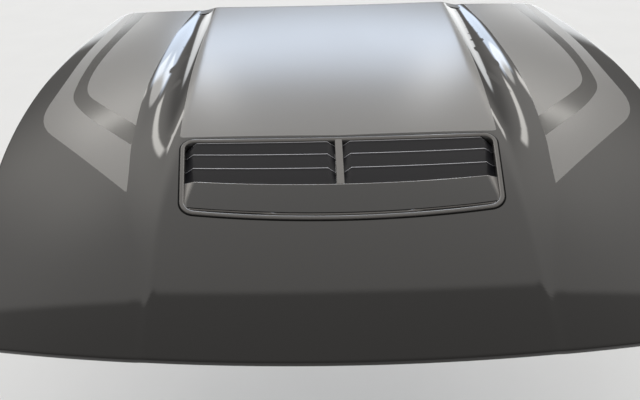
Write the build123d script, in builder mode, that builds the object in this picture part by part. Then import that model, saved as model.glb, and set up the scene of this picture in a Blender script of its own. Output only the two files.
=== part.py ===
from build123d import *
from math import atan2, cos, degrees, hypot, radians, sin, tan
import os

# Vented bonnet of a muscle car, with its hinges, gas struts, latch striker and heat vent.
# Millimetres. +Z is up, +Y points to the windscreen and -Y to the nose, the bonnet is shut.
# The origin is the centre of the four bolts under the hinge feet.
# "left" is the car's own left side, which is +X.

# Plan of the outer panel: four edges of one radius each
REAR_CENTRE_Y = 0.0
REAR_EDGE_RADIUS = 1978.0
FRONT_CENTRE_Y = -1197.0
FRONT_EDGE_RADIUS = 3400.0
WIDEST_HALF_WIDTH = 797.0
WIDEST_Y = -360.0
SIDE_EDGE_RADIUS = 1700.0
REAR_CORNER_RADIUS = 42.0
FRONT_CORNER_RADIUS = 75.0
SMALLEST_CORNER = 5.0

# Height of the outer panel along its centre line
REAR_HEIGHT = 159.0
NOSE_FALL = 218.0
FALL_START_Y = 24.0
FALL_LENGTH = 1226.0
EVEN_SHARE = 0.33
NOSE_POWER = 2.4

# Crown across the panel
CROWN_DROP = 43.0
CROWN_AT = 665.0
SECTION_HALF_WIDTH = 845.0

# Sections of the pressed form, nose last. Each has its place along the car, the edge of the
# centre dome and its rise over the plain crown, the depth of the flute beside the dome,
# and the ridge beyond the flute with its rise
# Columns: y, dome x, dome rise, flute depth, ridge x, ridge rise
FORM_SECTIONS = [
    (150.0, 388.0, 5.0, 8.0, 428.0, -2.0),
    (-150.0, 374.0, 6.5, 12.0, 462.0, -3.0),
    (-500.0, 361.0, 7.0, 15.0, 470.0, -3.0),
    (-800.0, 350.0, 5.5, 3.0, 436.0, -2.0),
    (-1050.0, 333.0, 2.0, 0.6, 362.0, -0.5),
    (-1240.0, 318.0, 0.6, 0.5, 340.0, -0.2),
]
VENT_SECTION = 3
ROUNDING_SHARE = 0.32
SIDE_RISE_SHARE = 0.3

# Sheet metal
SKIN = 1.6
HEM_DEPTH = 9.0
INNER_SHEET = 1.4
PANEL_DEPTH = 28.0
HEM_FLANGE = 36.0
PLAN_HEIGHT = 600.0

# Lightening windows of the inner panel, one side
# Columns: distance in from the widest edge, distance behind the nose, width, length
WINDOWS = [
    (319.0, 1015.0, 120.0, 150.0),
    (315.0, 802.0, 130.0, 150.0),
    (319.0, 590.0, 130.0, 150.0),
    (387.0, 167.0, 150.0, 90.0),
]
WINDOW_RADIUS = 28.0

# Heat vent. Its rows of louvres are measured from the rear edge of the bezel
VENT_BEHIND_NOSE = 246.0
VENT_LENGTH = 223.0
VENT_REAR_EDGE_RADIUS = 4930.0
VENT_FRONT_EDGE_RADIUS = 1350.0
VENT_REAR_HALF_WIDTH = 343.0
VENT_FRONT_HALF_WIDTH = 306.0
VENT_REAR_CORNER_RADIUS = 38.0
VENT_FRONT_CORNER_RADIUS = 46.0
BEZEL_BAND = 12.0
BEZEL_FLANGE = 5.0
BEZEL_PROUD = 2.5
BEZEL_DEPTH = 34.0
CENTRE_BAR = 16.0
CENTRE_BAR_DEPTH = 14.0
LOUVRE_ROWS = (13.0, 46.0, 86.0)
LOUVRE_PLAN = 50.0
LOUVRE_TOP_DEPTH = 4.0
LOUVRE_FOOT_DEPTH = 24.0
LOUVRE_THICKNESS = 2.5
LOUVRE_BOW_RADIUS = 2540.0
LOUVRE_BOW_LEAN = 16.4
LOUVRE_END_LENGTH = 20.0
LOUVRE_END_DROP = 8.0
LIP_ROW = 139.0
LIP_REAR_EDGE_RADIUS = 2250.0
LIP_PROUD = 1.0
LIP_DEPTH = 9.0
LIP_SHEET = 3.0
LIP_END_LENGTH = 24.0
LIP_END_DROP = 7.0

# Hinge, one side. The pivot is (y, z); widths are measured from the bracket's web
HINGE_INSET = 178.5
PIVOT = (45.0, 48.0)
PIN_RADIUS = 6.0
RUNNING_GAP = 0.05
END_PLAY = 0.5
SHOULDER_RADIUS = 9.0
PIN_PROUD = 8.0
PIN_HEAD_RADIUS = 11.0
PIN_HEAD = 4.0
HEAD_SIDES = 6
BRACKET_SHEET = 3.5
FOOT_WIDTH = 71.5
FOOT_HALF_LENGTH = 52.0
FOOT_BOLT_IN = 37.5
FOOT_BOLT_Y = 30.0
FOOT_HOLE_RADIUS = 4.5
BOSS_RADIUS = 15.0
ARM_SHEET = 4.0
ARM_CLEARANCE = 7.5
ARM_FLANGE = 32.0
ARM_FLANGE_Y = (-130.0, 20.0)

# Gas strut, one side
STRUT_IN = 28.5
STRUT_LEVER = 80.0
STRUT_REACH = 330.0
STRUT_LEVER_ANGLE = 66.0
STRUT_TOP_DROP = 1.0
BALL_PIN_RADIUS = 4.0
BALL_HEAD_RADIUS = 12.0
BALL_HEAD = 3.0
BALL_HEAD_GAP = 1.5
EYE_WIDTH = 12.0
TUBE_EYE_RADIUS = 9.0
ROD_EYE_RADIUS = 12.5
ROD_EYE_BORE = 9.5
WELD_LAP = 2.0
TUBE_RADIUS = 10.0
TUBE_BORE = 8.5
TUBE_START = 20.0
TUBE_END = 215.0
GUIDE_LENGTH = 12.0
NECK_RADIUS = 4.0
ROD_RADIUS = 4.0
ROD_GAP = 0.1
PISTON_START = 60.0
PISTON_LENGTH = 10.0
PISTON_GAP = 0.2
STRUT_BRACKET_SHEET = 3.5
STRUT_BRACKET_LENGTH = 60.0
STRUT_BRACKET_GAP = 8.0

# Latch striker: a bent strap on a plate
STRIKER_BEHIND_NOSE = 89.0
STRIKER_STRAP = 8.0
STRIKER_WIDTH = 52.0
STRIKER_DROP = 50.0
STRIKER_BEND = 10.0
STRIKER_PLATE_WIDTH = 110.0
STRIKER_PLATE_LENGTH = 46.0
STRIKER_PLATE_SHEET = 3.0

# Rubber and lining
BUMP_STOP_INSET = 237.0
BUMP_STOP_BEHIND_NOSE = 157.0
BUMP_STOP_RADIUS = 16.0
BUMP_STOP_WAIST = 12.0
BUMP_STOP_TIP = 13.0
BUMP_STOP_HEIGHT = 24.0
SEAL_INSET = 40.0
SEAL_END_INSET = 297.0
SEAL_FOOT_WIDTH = 20.0
SEAL_FOOT_HEIGHT = 4.0
SEAL_BULB_WIDTH = 12.0
SEAL_HEIGHT = 14.0
PAD_HALF_WIDTH = 318.0
PAD_BEHIND_VENT = 118.0
PAD_REAR_Y = -75.0
PAD_RADIUS = 45.0
PAD_THICKNESS = 14.0
CLIP_RADIUS = 11.0
CLIP_THICKNESS = 2.5
SEAT_GAP = 0.03

# Push clips of the sound pad: share of its half width, share of its half length
CLIPS = [
    (0.0, 0.0),
    (0.78, 0.74),
    (-0.78, 0.74),
    (0.78, -0.74),
    (-0.78, -0.74),
]


def centre_height(y):
    """Height of the centre line at y: an even fall plus a steeper one towards the nose."""
    share = (FALL_START_Y - y) / FALL_LENGTH
    steep = max(share, 0.0) ** NOSE_POWER
    return REAR_HEIGHT - NOSE_FALL * (EVEN_SHARE * share + (1 - EVEN_SHARE) * steep)


def centre_slope(y):
    """Slope of the centre line at y, rising to the rear."""
    share = max((FALL_START_Y - y) / FALL_LENGTH, 0.0)
    steep = (1 - EVEN_SHARE) * NOSE_POWER * share ** (NOSE_POWER - 1)
    return NOSE_FALL / FALL_LENGTH * (EVEN_SHARE + steep)


def crown(x):
    """Drop of the plain crown at x."""
    return CROWN_DROP * (x / CROWN_AT) ** 2


def dome_drop(x):
    """Height of the dome at x over its centre line, in the section beside the vent."""
    dome_x, dome_rise = FORM_SECTIONS[VENT_SECTION][1:3]
    return (dome_rise - crown(dome_x)) * (x / dome_x) ** 2


def rounded(corner, before, after, reach):
    """Middle of the arc that rounds a corner between two directions, and starts reach before it."""
    turn = radians(before.get_angle(after))
    return corner + (after - before).normalized() * reach * tan(turn / 4)


def half_section(dome_x, dome_rise, flute_depth, ridge_x, ridge_rise):
    """Arcs of one side of a section, from the dome outwards: start, middle and end of each.

    The dome's edge, the flute's bottom and the ridge are corners, rounded by arcs that meet.
    """
    dome = Vector(dome_x, dome_rise - crown(dome_x))
    ridge = Vector(ridge_x, ridge_rise - crown(ridge_x))
    flute = (dome + ridge) * 0.5 - Vector(0, flute_depth)
    inner_wall = (flute - dome).length
    outer_wall = (ridge - flute).length
    down = (flute - dome).normalized()
    up = (ridge - flute).normalized()
    shoulder = Vector(1, -2 * crown(ridge_x) / ridge_x).normalized()
    ridge_reach = ROUNDING_SHARE * min(inner_wall, outer_wall)
    dome_reach = ridge_reach + inner_wall - outer_wall
    start_x = dome_x - dome_reach
    dome_start = Vector(start_x, dome.Y / (1 + 2 * dome_reach / start_x))
    along_dome = (dome - dome_start).normalized()
    dome_end = dome + down * dome_reach
    ridge_start = ridge - up * ridge_reach
    ridge_end = ridge + shoulder * ridge_reach
    side = Vector(SECTION_HALF_WIDTH, -crown(SECTION_HALF_WIDTH))
    side_x = (ridge_end.X + side.X) / 2
    side_middle = Vector(side_x, SIDE_RISE_SHARE * ridge_rise - crown(side_x))
    return [
        (dome_start, rounded(dome, along_dome, down, dome_reach), dome_end),
        (dome_end, rounded(flute, down, up, inner_wall - dome_reach), ridge_start),
        (ridge_start, rounded(ridge, up, shoulder, ridge_reach), ridge_end),
        (ridge_end, side_middle, side),
    ]


def across(point):
    """The same point on the other side of the car."""
    return Vector(-point.X, point.Y)


def formed(over, under):
    """An even layer of the pressed form, from over to under, both measured down from its outer face."""
    with BuildPart() as sheet:
        for y, *shape in FORM_SECTIONS:
            arcs = half_section(*shape)
            dome_start = arcs[0][0]
            side = arcs[-1][2]
            upper = Vector(0, centre_height(y) - over)
            lower = Vector(0, centre_height(y) - under)
            with BuildSketch(Plane.XZ.offset(-y)):
                with BuildLine():
                    for level in (upper, lower):
                        ThreePointArc(level + across(dome_start), level, level + dome_start)
                        for start, middle, end in arcs:
                            ThreePointArc(level + start, level + middle, level + end)
                            ThreePointArc(
                                level + across(start), level + across(middle), level + across(end)
                            )
                    Line(upper + side, lower + side)
                    Line(upper + across(side), lower + across(side))
                make_face()
        loft()
    return sheet.part


def plain(over, under):
    """An even layer of the plain crown, without the form, from over to under its outer face."""
    drop = Vector(SECTION_HALF_WIDTH, -crown(SECTION_HALF_WIDTH))
    with BuildPart() as sheet:
        for y in (section[0] for section in FORM_SECTIONS):
            upper = Vector(0, centre_height(y) - over)
            lower = Vector(0, centre_height(y) - under)
            with BuildSketch(Plane.XZ.offset(-y)):
                with BuildLine():
                    ThreePointArc(upper + across(drop), upper, upper + drop)
                    ThreePointArc(lower + across(drop), lower, lower + drop)
                    Line(upper + drop, lower + drop)
                    Line(upper + across(drop), lower + across(drop))
                make_face()
        loft()
    return sheet.part


def plain_seat(x, y, depth):
    """Plane square to the plain crown, at a point depth under its outer face. Its z points down."""
    origin = (x, y, centre_height(y) - crown(x) - depth)
    slope = 2 * CROWN_DROP * x / CROWN_AT**2
    return Plane(origin=origin, z_dir=(-slope, centre_slope(y), -1))


def panel_outline(inset=0.0):
    """Outline of the outer panel in plan, set in by inset."""
    side_centre = WIDEST_HALF_WIDTH - SIDE_EDGE_RADIUS
    with BuildSketch() as outline:
        with Locations((side_centre, WIDEST_Y)):
            Circle(SIDE_EDGE_RADIUS - inset)
        with Locations((-side_centre, WIDEST_Y)):
            Circle(SIDE_EDGE_RADIUS - inset, mode=Mode.INTERSECT)
        with Locations((0, FRONT_CENTRE_Y + FRONT_EDGE_RADIUS)):
            Circle(FRONT_EDGE_RADIUS - inset, mode=Mode.INTERSECT)
        with Locations((0, REAR_CENTRE_Y + REAR_EDGE_RADIUS)):
            Circle(REAR_EDGE_RADIUS + inset, mode=Mode.SUBTRACT)
        corners = outline.vertices().sort_by(Axis.Y)
        fillet(corners[:2], max(FRONT_CORNER_RADIUS - inset, SMALLEST_CORNER))
        corners = outline.vertices().sort_by(Axis.Y)
        fillet(corners[-2:], max(REAR_CORNER_RADIUS - inset, SMALLEST_CORNER))
    return outline.sketch


VENT_FRONT_Y = FRONT_CENTRE_Y + VENT_BEHIND_NOSE
VENT_REAR_Y = VENT_FRONT_Y + VENT_LENGTH
VENT_LEAN = (VENT_REAR_HALF_WIDTH - VENT_FRONT_HALF_WIDTH) / VENT_LENGTH


def vent_half_width(y):
    """Half width of the bezel at y."""
    return VENT_REAR_HALF_WIDTH - VENT_LEAN * (VENT_REAR_Y - y)


def vent_outline(inset=0.0):
    """Outline of the vent's bezel in plan, set in by inset."""
    square_in = inset * hypot(1, VENT_LEAN)
    rear_y = VENT_REAR_Y + VENT_LENGTH
    front_y = VENT_FRONT_Y - VENT_LENGTH
    rear_x = vent_half_width(rear_y) - square_in
    front_x = vent_half_width(front_y) - square_in
    with BuildSketch() as outline:
        Polygon((rear_x, rear_y), (-rear_x, rear_y), (-front_x, front_y), (front_x, front_y), align=None)
        with Locations((0, VENT_FRONT_Y + VENT_FRONT_EDGE_RADIUS)):
            Circle(VENT_FRONT_EDGE_RADIUS - inset, mode=Mode.INTERSECT)
        with Locations((0, VENT_REAR_Y + VENT_REAR_EDGE_RADIUS)):
            Circle(VENT_REAR_EDGE_RADIUS + inset, mode=Mode.SUBTRACT)
        corners = outline.vertices().sort_by(Axis.Y)
        fillet(corners[:2], VENT_FRONT_CORNER_RADIUS - inset)
        corners = outline.vertices().sort_by(Axis.Y)
        fillet(corners[-2:], VENT_REAR_CORNER_RADIUS - inset)
    return outline.sketch


def lip_outline(inset=0.0):
    """Outline of the lip in front of the louvres, its rear edge set in by inset."""
    with BuildSketch() as outline:
        add(vent_outline(BEZEL_BAND))
        with Locations((0, VENT_REAR_Y - LIP_ROW + LIP_REAR_EDGE_RADIUS)):
            Circle(LIP_REAR_EDGE_RADIUS + inset, mode=Mode.SUBTRACT)
    return outline.sketch


def upright(outline, hole=None):
    """A tall prism over an outline, with a hole through it where a second outline is given."""
    with BuildPart() as prism:
        with BuildSketch(Plane.XY.offset(-PLAN_HEIGHT / 2)):
            add(outline)
            if hole is not None:
                add(hole, mode=Mode.SUBTRACT)
        extrude(amount=PLAN_HEIGHT)
    return prism.part


def tall_block(x_low, x_high, y_low, y_high):
    """A tall block over a rectangle in plan."""
    with BuildPart() as block:
        with BuildSketch(Plane.XY.offset(-PLAN_HEIGHT / 2)):
            with Locations(((x_low + x_high) / 2, (y_low + y_high) / 2)):
                Rectangle(x_high - x_low, y_high - y_low)
        extrude(amount=PLAN_HEIGHT)
    return block.part


def turned_down(x, y, z, length, drop, run, fall=0.0):
    """Wedge over a slope from x at y and z, that falls by drop along length, for run to the nose.

    A negative length turns it towards the car's right; fall is its own slope down to the nose.
    """
    with BuildPart() as wedge:
        with BuildSketch(Plane.XZ.offset(-y)):
            Polygon((x, z), (x + 2 * length, z - 2 * drop), (x + 2 * length, z + drop), align=None)
        extrude(amount=run, dir=(0, -1, -fall))
    return wedge.part


def save(piece, name):
    """Names a finished piece and writes its file."""
    piece.label = name
    export_step(piece, f"parts/{name}.step")


def save_pair(piece, name):
    """Writes a piece of the car's left side, and its mirror image for the right."""
    save(piece, f"{name}_left")
    with BuildPart() as twin:
        mirror(piece, about=Plane.YZ)
    save(twin.part, f"{name}_right")


os.makedirs("parts", exist_ok=True)

# Outer panel: the formed sheet, its folded hem and the hole for the vent
with BuildPart() as skin_pocket:
    add(formed(SKIN, 2 * HEM_DEPTH))
    add(upright(panel_outline(SKIN)), mode=Mode.INTERSECT)
with BuildPart() as outer_skin:
    add(formed(0, HEM_DEPTH))
    add(upright(panel_outline()), mode=Mode.INTERSECT)
    add(skin_pocket.part, mode=Mode.SUBTRACT)
    add(upright(vent_outline(BEZEL_FLANGE)), mode=Mode.SUBTRACT)
save(outer_skin.part, "outer_skin")

# Inner panel: hem flange against the skin, standing wall, floor with windows and vent throat
with BuildPart() as panel_hollow:
    add(plain(-PANEL_DEPTH, PANEL_DEPTH - INNER_SHEET))
    add(upright(panel_outline(HEM_FLANGE)), mode=Mode.INTERSECT)
with BuildPart() as panel_margin:
    add(formed(SKIN + INNER_SHEET, 3 * PANEL_DEPTH))
    add(upright(panel_outline(-HEM_FLANGE), panel_outline(HEM_FLANGE - INNER_SHEET)), mode=Mode.INTERSECT)
with BuildPart() as inner_panel:
    add(formed(SKIN, 2 * PANEL_DEPTH))
    add(upright(panel_outline(SKIN)), mode=Mode.INTERSECT)
    add(plain(PANEL_DEPTH, 4 * PANEL_DEPTH), mode=Mode.SUBTRACT)
    add(panel_hollow.part, mode=Mode.SUBTRACT)
    add(panel_margin.part, mode=Mode.SUBTRACT)
    with BuildSketch(Plane.XY.offset(-PLAN_HEIGHT / 2)):
        for inset, behind, width, length in WINDOWS:
            x = WIDEST_HALF_WIDTH - inset
            y = FRONT_CENTRE_Y + behind
            with Locations((x, y), (-x, y)):
                RectangleRounded(width, length, WINDOW_RADIUS)
    extrude(amount=PLAN_HEIGHT, mode=Mode.SUBTRACT)
    add(upright(vent_outline()), mode=Mode.SUBTRACT)
save(inner_panel.part, "inner_panel")

# Vent bezel: a proud band that lies on the skin, a wall through it and a centre bar
with BuildPart() as bezel_wall:
    add(formed(-BEZEL_PROUD, BEZEL_DEPTH))
    add(upright(vent_outline(BEZEL_FLANGE), vent_outline(BEZEL_BAND)), mode=Mode.INTERSECT)
with BuildPart() as bezel_bar:
    add(formed(-BEZEL_PROUD, CENTRE_BAR_DEPTH))
    add(
        tall_block(-CENTRE_BAR / 2, CENTRE_BAR / 2, VENT_REAR_Y - LIP_ROW, VENT_REAR_Y),
        mode=Mode.INTERSECT,
    )
    add(upright(vent_outline(BEZEL_BAND - WELD_LAP)), mode=Mode.INTERSECT)
with BuildPart() as vent_bezel:
    add(formed(-BEZEL_PROUD, 0))
    add(upright(vent_outline(), vent_outline(BEZEL_BAND)), mode=Mode.INTERSECT)
    add(bezel_wall.part)
    add(bezel_bar.part)
save(vent_bezel.part, "vent_bezel")

# Louvres of one side: slanting blades, open to the rear, bowed back and down to their ends,
# with both ends of each top edge turned down
LEAN = radians(LOUVRE_BOW_LEAN)
LOUVRE_SWEEP = degrees(VENT_REAR_HALF_WIDTH / LOUVRE_BOW_RADIUS) + 1
with BuildPart() as louvres:
    for row in LOUVRE_ROWS:
        top_y = VENT_REAR_Y - row
        top_z = centre_height(top_y) - LOUVRE_TOP_DEPTH
        foot_y = top_y - LOUVRE_PLAN
        foot_z = centre_height(foot_y) - LOUVRE_FOOT_DEPTH
        with BuildSketch(Plane.YZ):
            with BuildLine():
                Polyline(
                    (top_y, top_z),
                    (foot_y, foot_z),
                    (foot_y, foot_z - LOUVRE_THICKNESS),
                    (top_y, top_z - LOUVRE_THICKNESS),
                    close=True,
                )
            make_face()
        bow_centre = (0, top_y + LOUVRE_BOW_RADIUS * cos(LEAN), top_z - LOUVRE_BOW_RADIUS * sin(LEAN))
        revolve(axis=Axis(bow_centre, (0, sin(LEAN), cos(LEAN))), revolution_arc=LOUVRE_SWEEP)
        outer_x = vent_half_width(top_y) - BEZEL_BAND - LOUVRE_END_LENGTH
        outer_z = top_z - sin(LEAN) * outer_x**2 / (2 * LOUVRE_BOW_RADIUS)
        turned = turned_down(
            outer_x, top_y + LOUVRE_PLAN, outer_z, LOUVRE_END_LENGTH, LOUVRE_END_DROP, 2 * LOUVRE_PLAN
        )
        add(turned, mode=Mode.SUBTRACT)
        inner_x = CENTRE_BAR / 2 + LOUVRE_END_LENGTH
        turned = turned_down(
            inner_x, top_y + LOUVRE_PLAN, top_z, -LOUVRE_END_LENGTH, LOUVRE_END_DROP, 2 * LOUVRE_PLAN
        )
        add(turned, mode=Mode.SUBTRACT)
    add(upright(vent_outline(BEZEL_BAND)), mode=Mode.INTERSECT)
    add(
        tall_block(CENTRE_BAR / 2, VENT_REAR_HALF_WIDTH, FRONT_CENTRE_Y, VENT_REAR_Y + LOUVRE_PLAN),
        mode=Mode.INTERSECT,
    )
save_pair(louvres.part, "vent_louvres")

# Full width lip in front of the louvres: a sheet with a bowed, flanged rear edge and folded ends
LIP_Y = VENT_REAR_Y - LIP_ROW
LIP_END_X = vent_half_width(LIP_Y) - BEZEL_BAND - LIP_END_LENGTH
LIP_END_Z = centre_height(LIP_Y) + dome_drop(LIP_END_X) + LIP_PROUD
with BuildPart() as lip_fold:
    fold = turned_down(
        LIP_END_X,
        LIP_Y + LOUVRE_PLAN,
        LIP_END_Z + LOUVRE_PLAN * centre_slope(LIP_Y),
        LIP_END_LENGTH,
        LIP_END_DROP,
        VENT_LENGTH,
        centre_slope(LIP_Y),
    )
    add(fold)
    mirror(about=Plane.YZ)
with BuildPart() as lip_hollow:
    add(formed(LIP_SHEET - LIP_PROUD, 2 * LIP_DEPTH))
    add(upright(lip_outline(LIP_SHEET)), mode=Mode.INTERSECT)
    with Locations((0, 0, -LIP_SHEET)):
        add(lip_fold.part, mode=Mode.SUBTRACT)
with BuildPart() as vent_deflector:
    add(formed(-LIP_PROUD, LIP_DEPTH))
    add(upright(lip_outline()), mode=Mode.INTERSECT)
    add(lip_fold.part, mode=Mode.SUBTRACT)
    add(lip_hollow.part, mode=Mode.SUBTRACT)
save(vent_deflector.part, "vent_deflector")

# Hinge bracket, left: a foot on the car's wing rail, and a web with the pivot and the strut's stud
WEB_X = WIDEST_HALF_WIDTH - HINGE_INSET
ARM_X = WEB_X - ARM_CLEARANCE - ARM_SHEET
STRUT_X = WEB_X - STRUT_IN
EYE_FACE_X = STRUT_X - EYE_WIDTH / 2 - BALL_HEAD_GAP
PIVOT_Y, PIVOT_Z = PIVOT
TOP_Y = PIVOT_Y - STRUT_REACH
TOP_Z = PIVOT_Z - STRUT_TOP_DROP
lever_angle = atan2(TOP_Z - PIVOT_Z, PIVOT_Y - TOP_Y) - radians(STRUT_LEVER_ANGLE)
FOOT_Y = PIVOT_Y - STRUT_LEVER * cos(lever_angle)
FOOT_Z = PIVOT_Z + STRUT_LEVER * sin(lever_angle)
with BuildPart() as hinge_bracket:
    with BuildSketch(Plane.XY):
        with Locations((WEB_X + FOOT_WIDTH / 2, 0)):
            Rectangle(FOOT_WIDTH, 2 * FOOT_HALF_LENGTH)
        with Locations((WEB_X + FOOT_BOLT_IN, FOOT_BOLT_Y), (WEB_X + FOOT_BOLT_IN, -FOOT_BOLT_Y)):
            Circle(FOOT_HOLE_RADIUS, mode=Mode.SUBTRACT)
    extrude(amount=BRACKET_SHEET)
    with BuildSketch(Plane.YZ.offset(WEB_X)):
        Polygon(
            (-FOOT_HALF_LENGTH, 0),
            (FOOT_HALF_LENGTH, 0),
            (PIVOT_Y + BOSS_RADIUS, PIVOT_Z),
            (PIVOT_Y - BOSS_RADIUS, PIVOT_Z),
            (-FOOT_HALF_LENGTH, BRACKET_SHEET),
            align=None,
        )
        Polygon(
            (FOOT_Y - 2 * BOSS_RADIUS, BRACKET_SHEET),
            (FOOT_Y - BOSS_RADIUS, FOOT_Z),
            (FOOT_Y + BOSS_RADIUS, FOOT_Z),
            (FOOT_Y + 2 * BOSS_RADIUS, BRACKET_SHEET),
            align=None,
        )
        with Locations((PIVOT_Y, PIVOT_Z), (FOOT_Y, FOOT_Z)):
            Circle(BOSS_RADIUS)
        with Locations((PIVOT_Y, PIVOT_Z)):
            Circle(PIN_RADIUS, mode=Mode.SUBTRACT)
    extrude(amount=BRACKET_SHEET)
    with BuildSketch(Plane.YZ.offset(EYE_FACE_X)):
        with Locations((FOOT_Y, FOOT_Z)):
            Circle(BALL_PIN_RADIUS)
    extrude(amount=WEB_X - EYE_FACE_X)
    with BuildSketch(Plane.YZ.offset(EYE_FACE_X - BALL_HEAD)):
        with Locations((FOOT_Y, FOOT_Z)):
            Circle(TUBE_EYE_RADIUS)
    extrude(amount=BALL_HEAD)
save_pair(hinge_bracket.part, "hinge_bracket")

# Hinge pin, left: a shoulder bolt with its six sided head inside the arm and its nut outside the web
with BuildPart() as hinge_pin:
    with BuildSketch(Plane.YZ.offset(ARM_X - END_PLAY)):
        with Locations((PIVOT_Y, PIVOT_Z)):
            Circle(PIN_RADIUS)
    extrude(amount=WEB_X + BRACKET_SHEET + PIN_PROUD - ARM_X + END_PLAY)
    with BuildSketch(Plane.YZ.offset(ARM_X + ARM_SHEET + END_PLAY)):
        with Locations((PIVOT_Y, PIVOT_Z)):
            Circle(SHOULDER_RADIUS)
    extrude(amount=ARM_CLEARANCE - END_PLAY)
    with BuildSketch(Plane.YZ.offset(ARM_X - END_PLAY - PIN_HEAD)):
        with Locations((PIVOT_Y, PIVOT_Z)):
            RegularPolygon(PIN_HEAD_RADIUS, HEAD_SIDES)
    extrude(amount=PIN_HEAD)
    with BuildSketch(Plane.YZ.offset(WEB_X + BRACKET_SHEET)):
        with Locations((PIVOT_Y, PIVOT_Z)):
            RegularPolygon(PIN_HEAD_RADIUS, HEAD_SIDES)
    extrude(amount=PIN_HEAD)
save_pair(hinge_pin.part, "hinge_pin")

# Hinge arm, left: a flange that lies under the inner panel and a web down to the pivot
with BuildPart() as arm_flange:
    add(plain(PANEL_DEPTH, PANEL_DEPTH + ARM_SHEET))
    add(tall_block(ARM_X - ARM_FLANGE, ARM_X + ARM_SHEET, *ARM_FLANGE_Y), mode=Mode.INTERSECT)
with BuildPart() as hinge_arm:
    with BuildSketch(Plane.YZ.offset(ARM_X)):
        Polygon(
            (ARM_FLANGE_Y[0], REAR_HEIGHT),
            (ARM_FLANGE_Y[0], PIVOT_Z + 2 * BOSS_RADIUS),
            (PIVOT_Y - BOSS_RADIUS, PIVOT_Z),
            (PIVOT_Y + BOSS_RADIUS, PIVOT_Z),
            (ARM_FLANGE_Y[1], REAR_HEIGHT),
            align=None,
        )
        with Locations((PIVOT_Y, PIVOT_Z)):
            Circle(BOSS_RADIUS)
            Circle(PIN_RADIUS + RUNNING_GAP, mode=Mode.SUBTRACT)
    extrude(amount=ARM_SHEET)
    add(plain(-3 * PANEL_DEPTH, PANEL_DEPTH + ARM_SHEET / 2), mode=Mode.SUBTRACT)
    add(arm_flange.part)
save_pair(hinge_arm.part, "hinge_arm")

# Strut bracket, left: a flange under the inner panel, a tab and the stud for the rod's eye
TAB_X = STRUT_X + EYE_WIDTH / 2 + STRUT_BRACKET_GAP
TAB_FRONT_Y = TOP_Y - STRUT_BRACKET_LENGTH / 2
TAB_REAR_Y = TOP_Y + STRUT_BRACKET_LENGTH / 2
with BuildPart() as strut_flange:
    add(plain(PANEL_DEPTH, PANEL_DEPTH + STRUT_BRACKET_SHEET))
    add(
        tall_block(STRUT_X - BOSS_RADIUS, TAB_X + STRUT_BRACKET_SHEET, TAB_FRONT_Y, TAB_REAR_Y),
        mode=Mode.INTERSECT,
    )
with BuildPart() as strut_bracket:
    with BuildSketch(Plane.YZ.offset(TAB_X)):
        Polygon(
            (TAB_FRONT_Y, REAR_HEIGHT),
            (TOP_Y - BOSS_RADIUS, TOP_Z),
            (TOP_Y + BOSS_RADIUS, TOP_Z),
            (TAB_REAR_Y, REAR_HEIGHT),
            align=None,
        )
        with Locations((TOP_Y, TOP_Z)):
            Circle(BOSS_RADIUS)
    extrude(amount=STRUT_BRACKET_SHEET)
    add(plain(-3 * PANEL_DEPTH, PANEL_DEPTH + STRUT_BRACKET_SHEET / 2), mode=Mode.SUBTRACT)
    add(strut_flange.part)
    with BuildSketch(Plane.YZ.offset(EYE_FACE_X)):
        with Locations((TOP_Y, TOP_Z)):
            Circle(BALL_PIN_RADIUS)
    extrude(amount=TAB_X - EYE_FACE_X)
    with BuildSketch(Plane.YZ.offset(EYE_FACE_X - BALL_HEAD)):
        with Locations((TOP_Y, TOP_Z)):
            Circle(BALL_HEAD_RADIUS)
    extrude(amount=BALL_HEAD)
save_pair(strut_bracket.part, "strut_bracket")

# Gas strut, left. Its own plane runs from the foot to the top, at the height of its axis
STRUT_LENGTH = hypot(TOP_Y - FOOT_Y, TOP_Z - FOOT_Z)
STRUT_PLANE = Plane(
    origin=(STRUT_X, FOOT_Y, FOOT_Z),
    x_dir=(0, (TOP_Y - FOOT_Y) / STRUT_LENGTH, (TOP_Z - FOOT_Z) / STRUT_LENGTH),
    z_dir=(1, 0, 0),
)
with BuildPart() as strut_tube:
    with BuildSketch(STRUT_PLANE):
        Polygon(
            (TUBE_EYE_RADIUS - WELD_LAP, 0),
            (TUBE_EYE_RADIUS - WELD_LAP, NECK_RADIUS),
            (TUBE_START, NECK_RADIUS),
            (TUBE_START, TUBE_RADIUS),
            (TUBE_END, TUBE_RADIUS),
            (TUBE_END, ROD_RADIUS + ROD_GAP),
            (TUBE_END - GUIDE_LENGTH, ROD_RADIUS + ROD_GAP),
            (TUBE_END - GUIDE_LENGTH, TUBE_BORE),
            (TUBE_START + GUIDE_LENGTH, TUBE_BORE),
            (TUBE_START + GUIDE_LENGTH, 0),
            align=None,
        )
    revolve(axis=Axis(STRUT_PLANE.origin, STRUT_PLANE.x_dir))
    with BuildSketch(Plane.YZ.offset(STRUT_X - EYE_WIDTH / 2)):
        with Locations((FOOT_Y, FOOT_Z)):
            Circle(TUBE_EYE_RADIUS)
    extrude(amount=EYE_WIDTH)
    with BuildSketch(Plane.YZ.offset(STRUT_X - EYE_WIDTH)):
        with Locations((FOOT_Y, FOOT_Z)):
            Circle(BALL_PIN_RADIUS + RUNNING_GAP)
    extrude(amount=2 * EYE_WIDTH, mode=Mode.SUBTRACT)
save_pair(strut_tube.part, "strut_tube")

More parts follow.
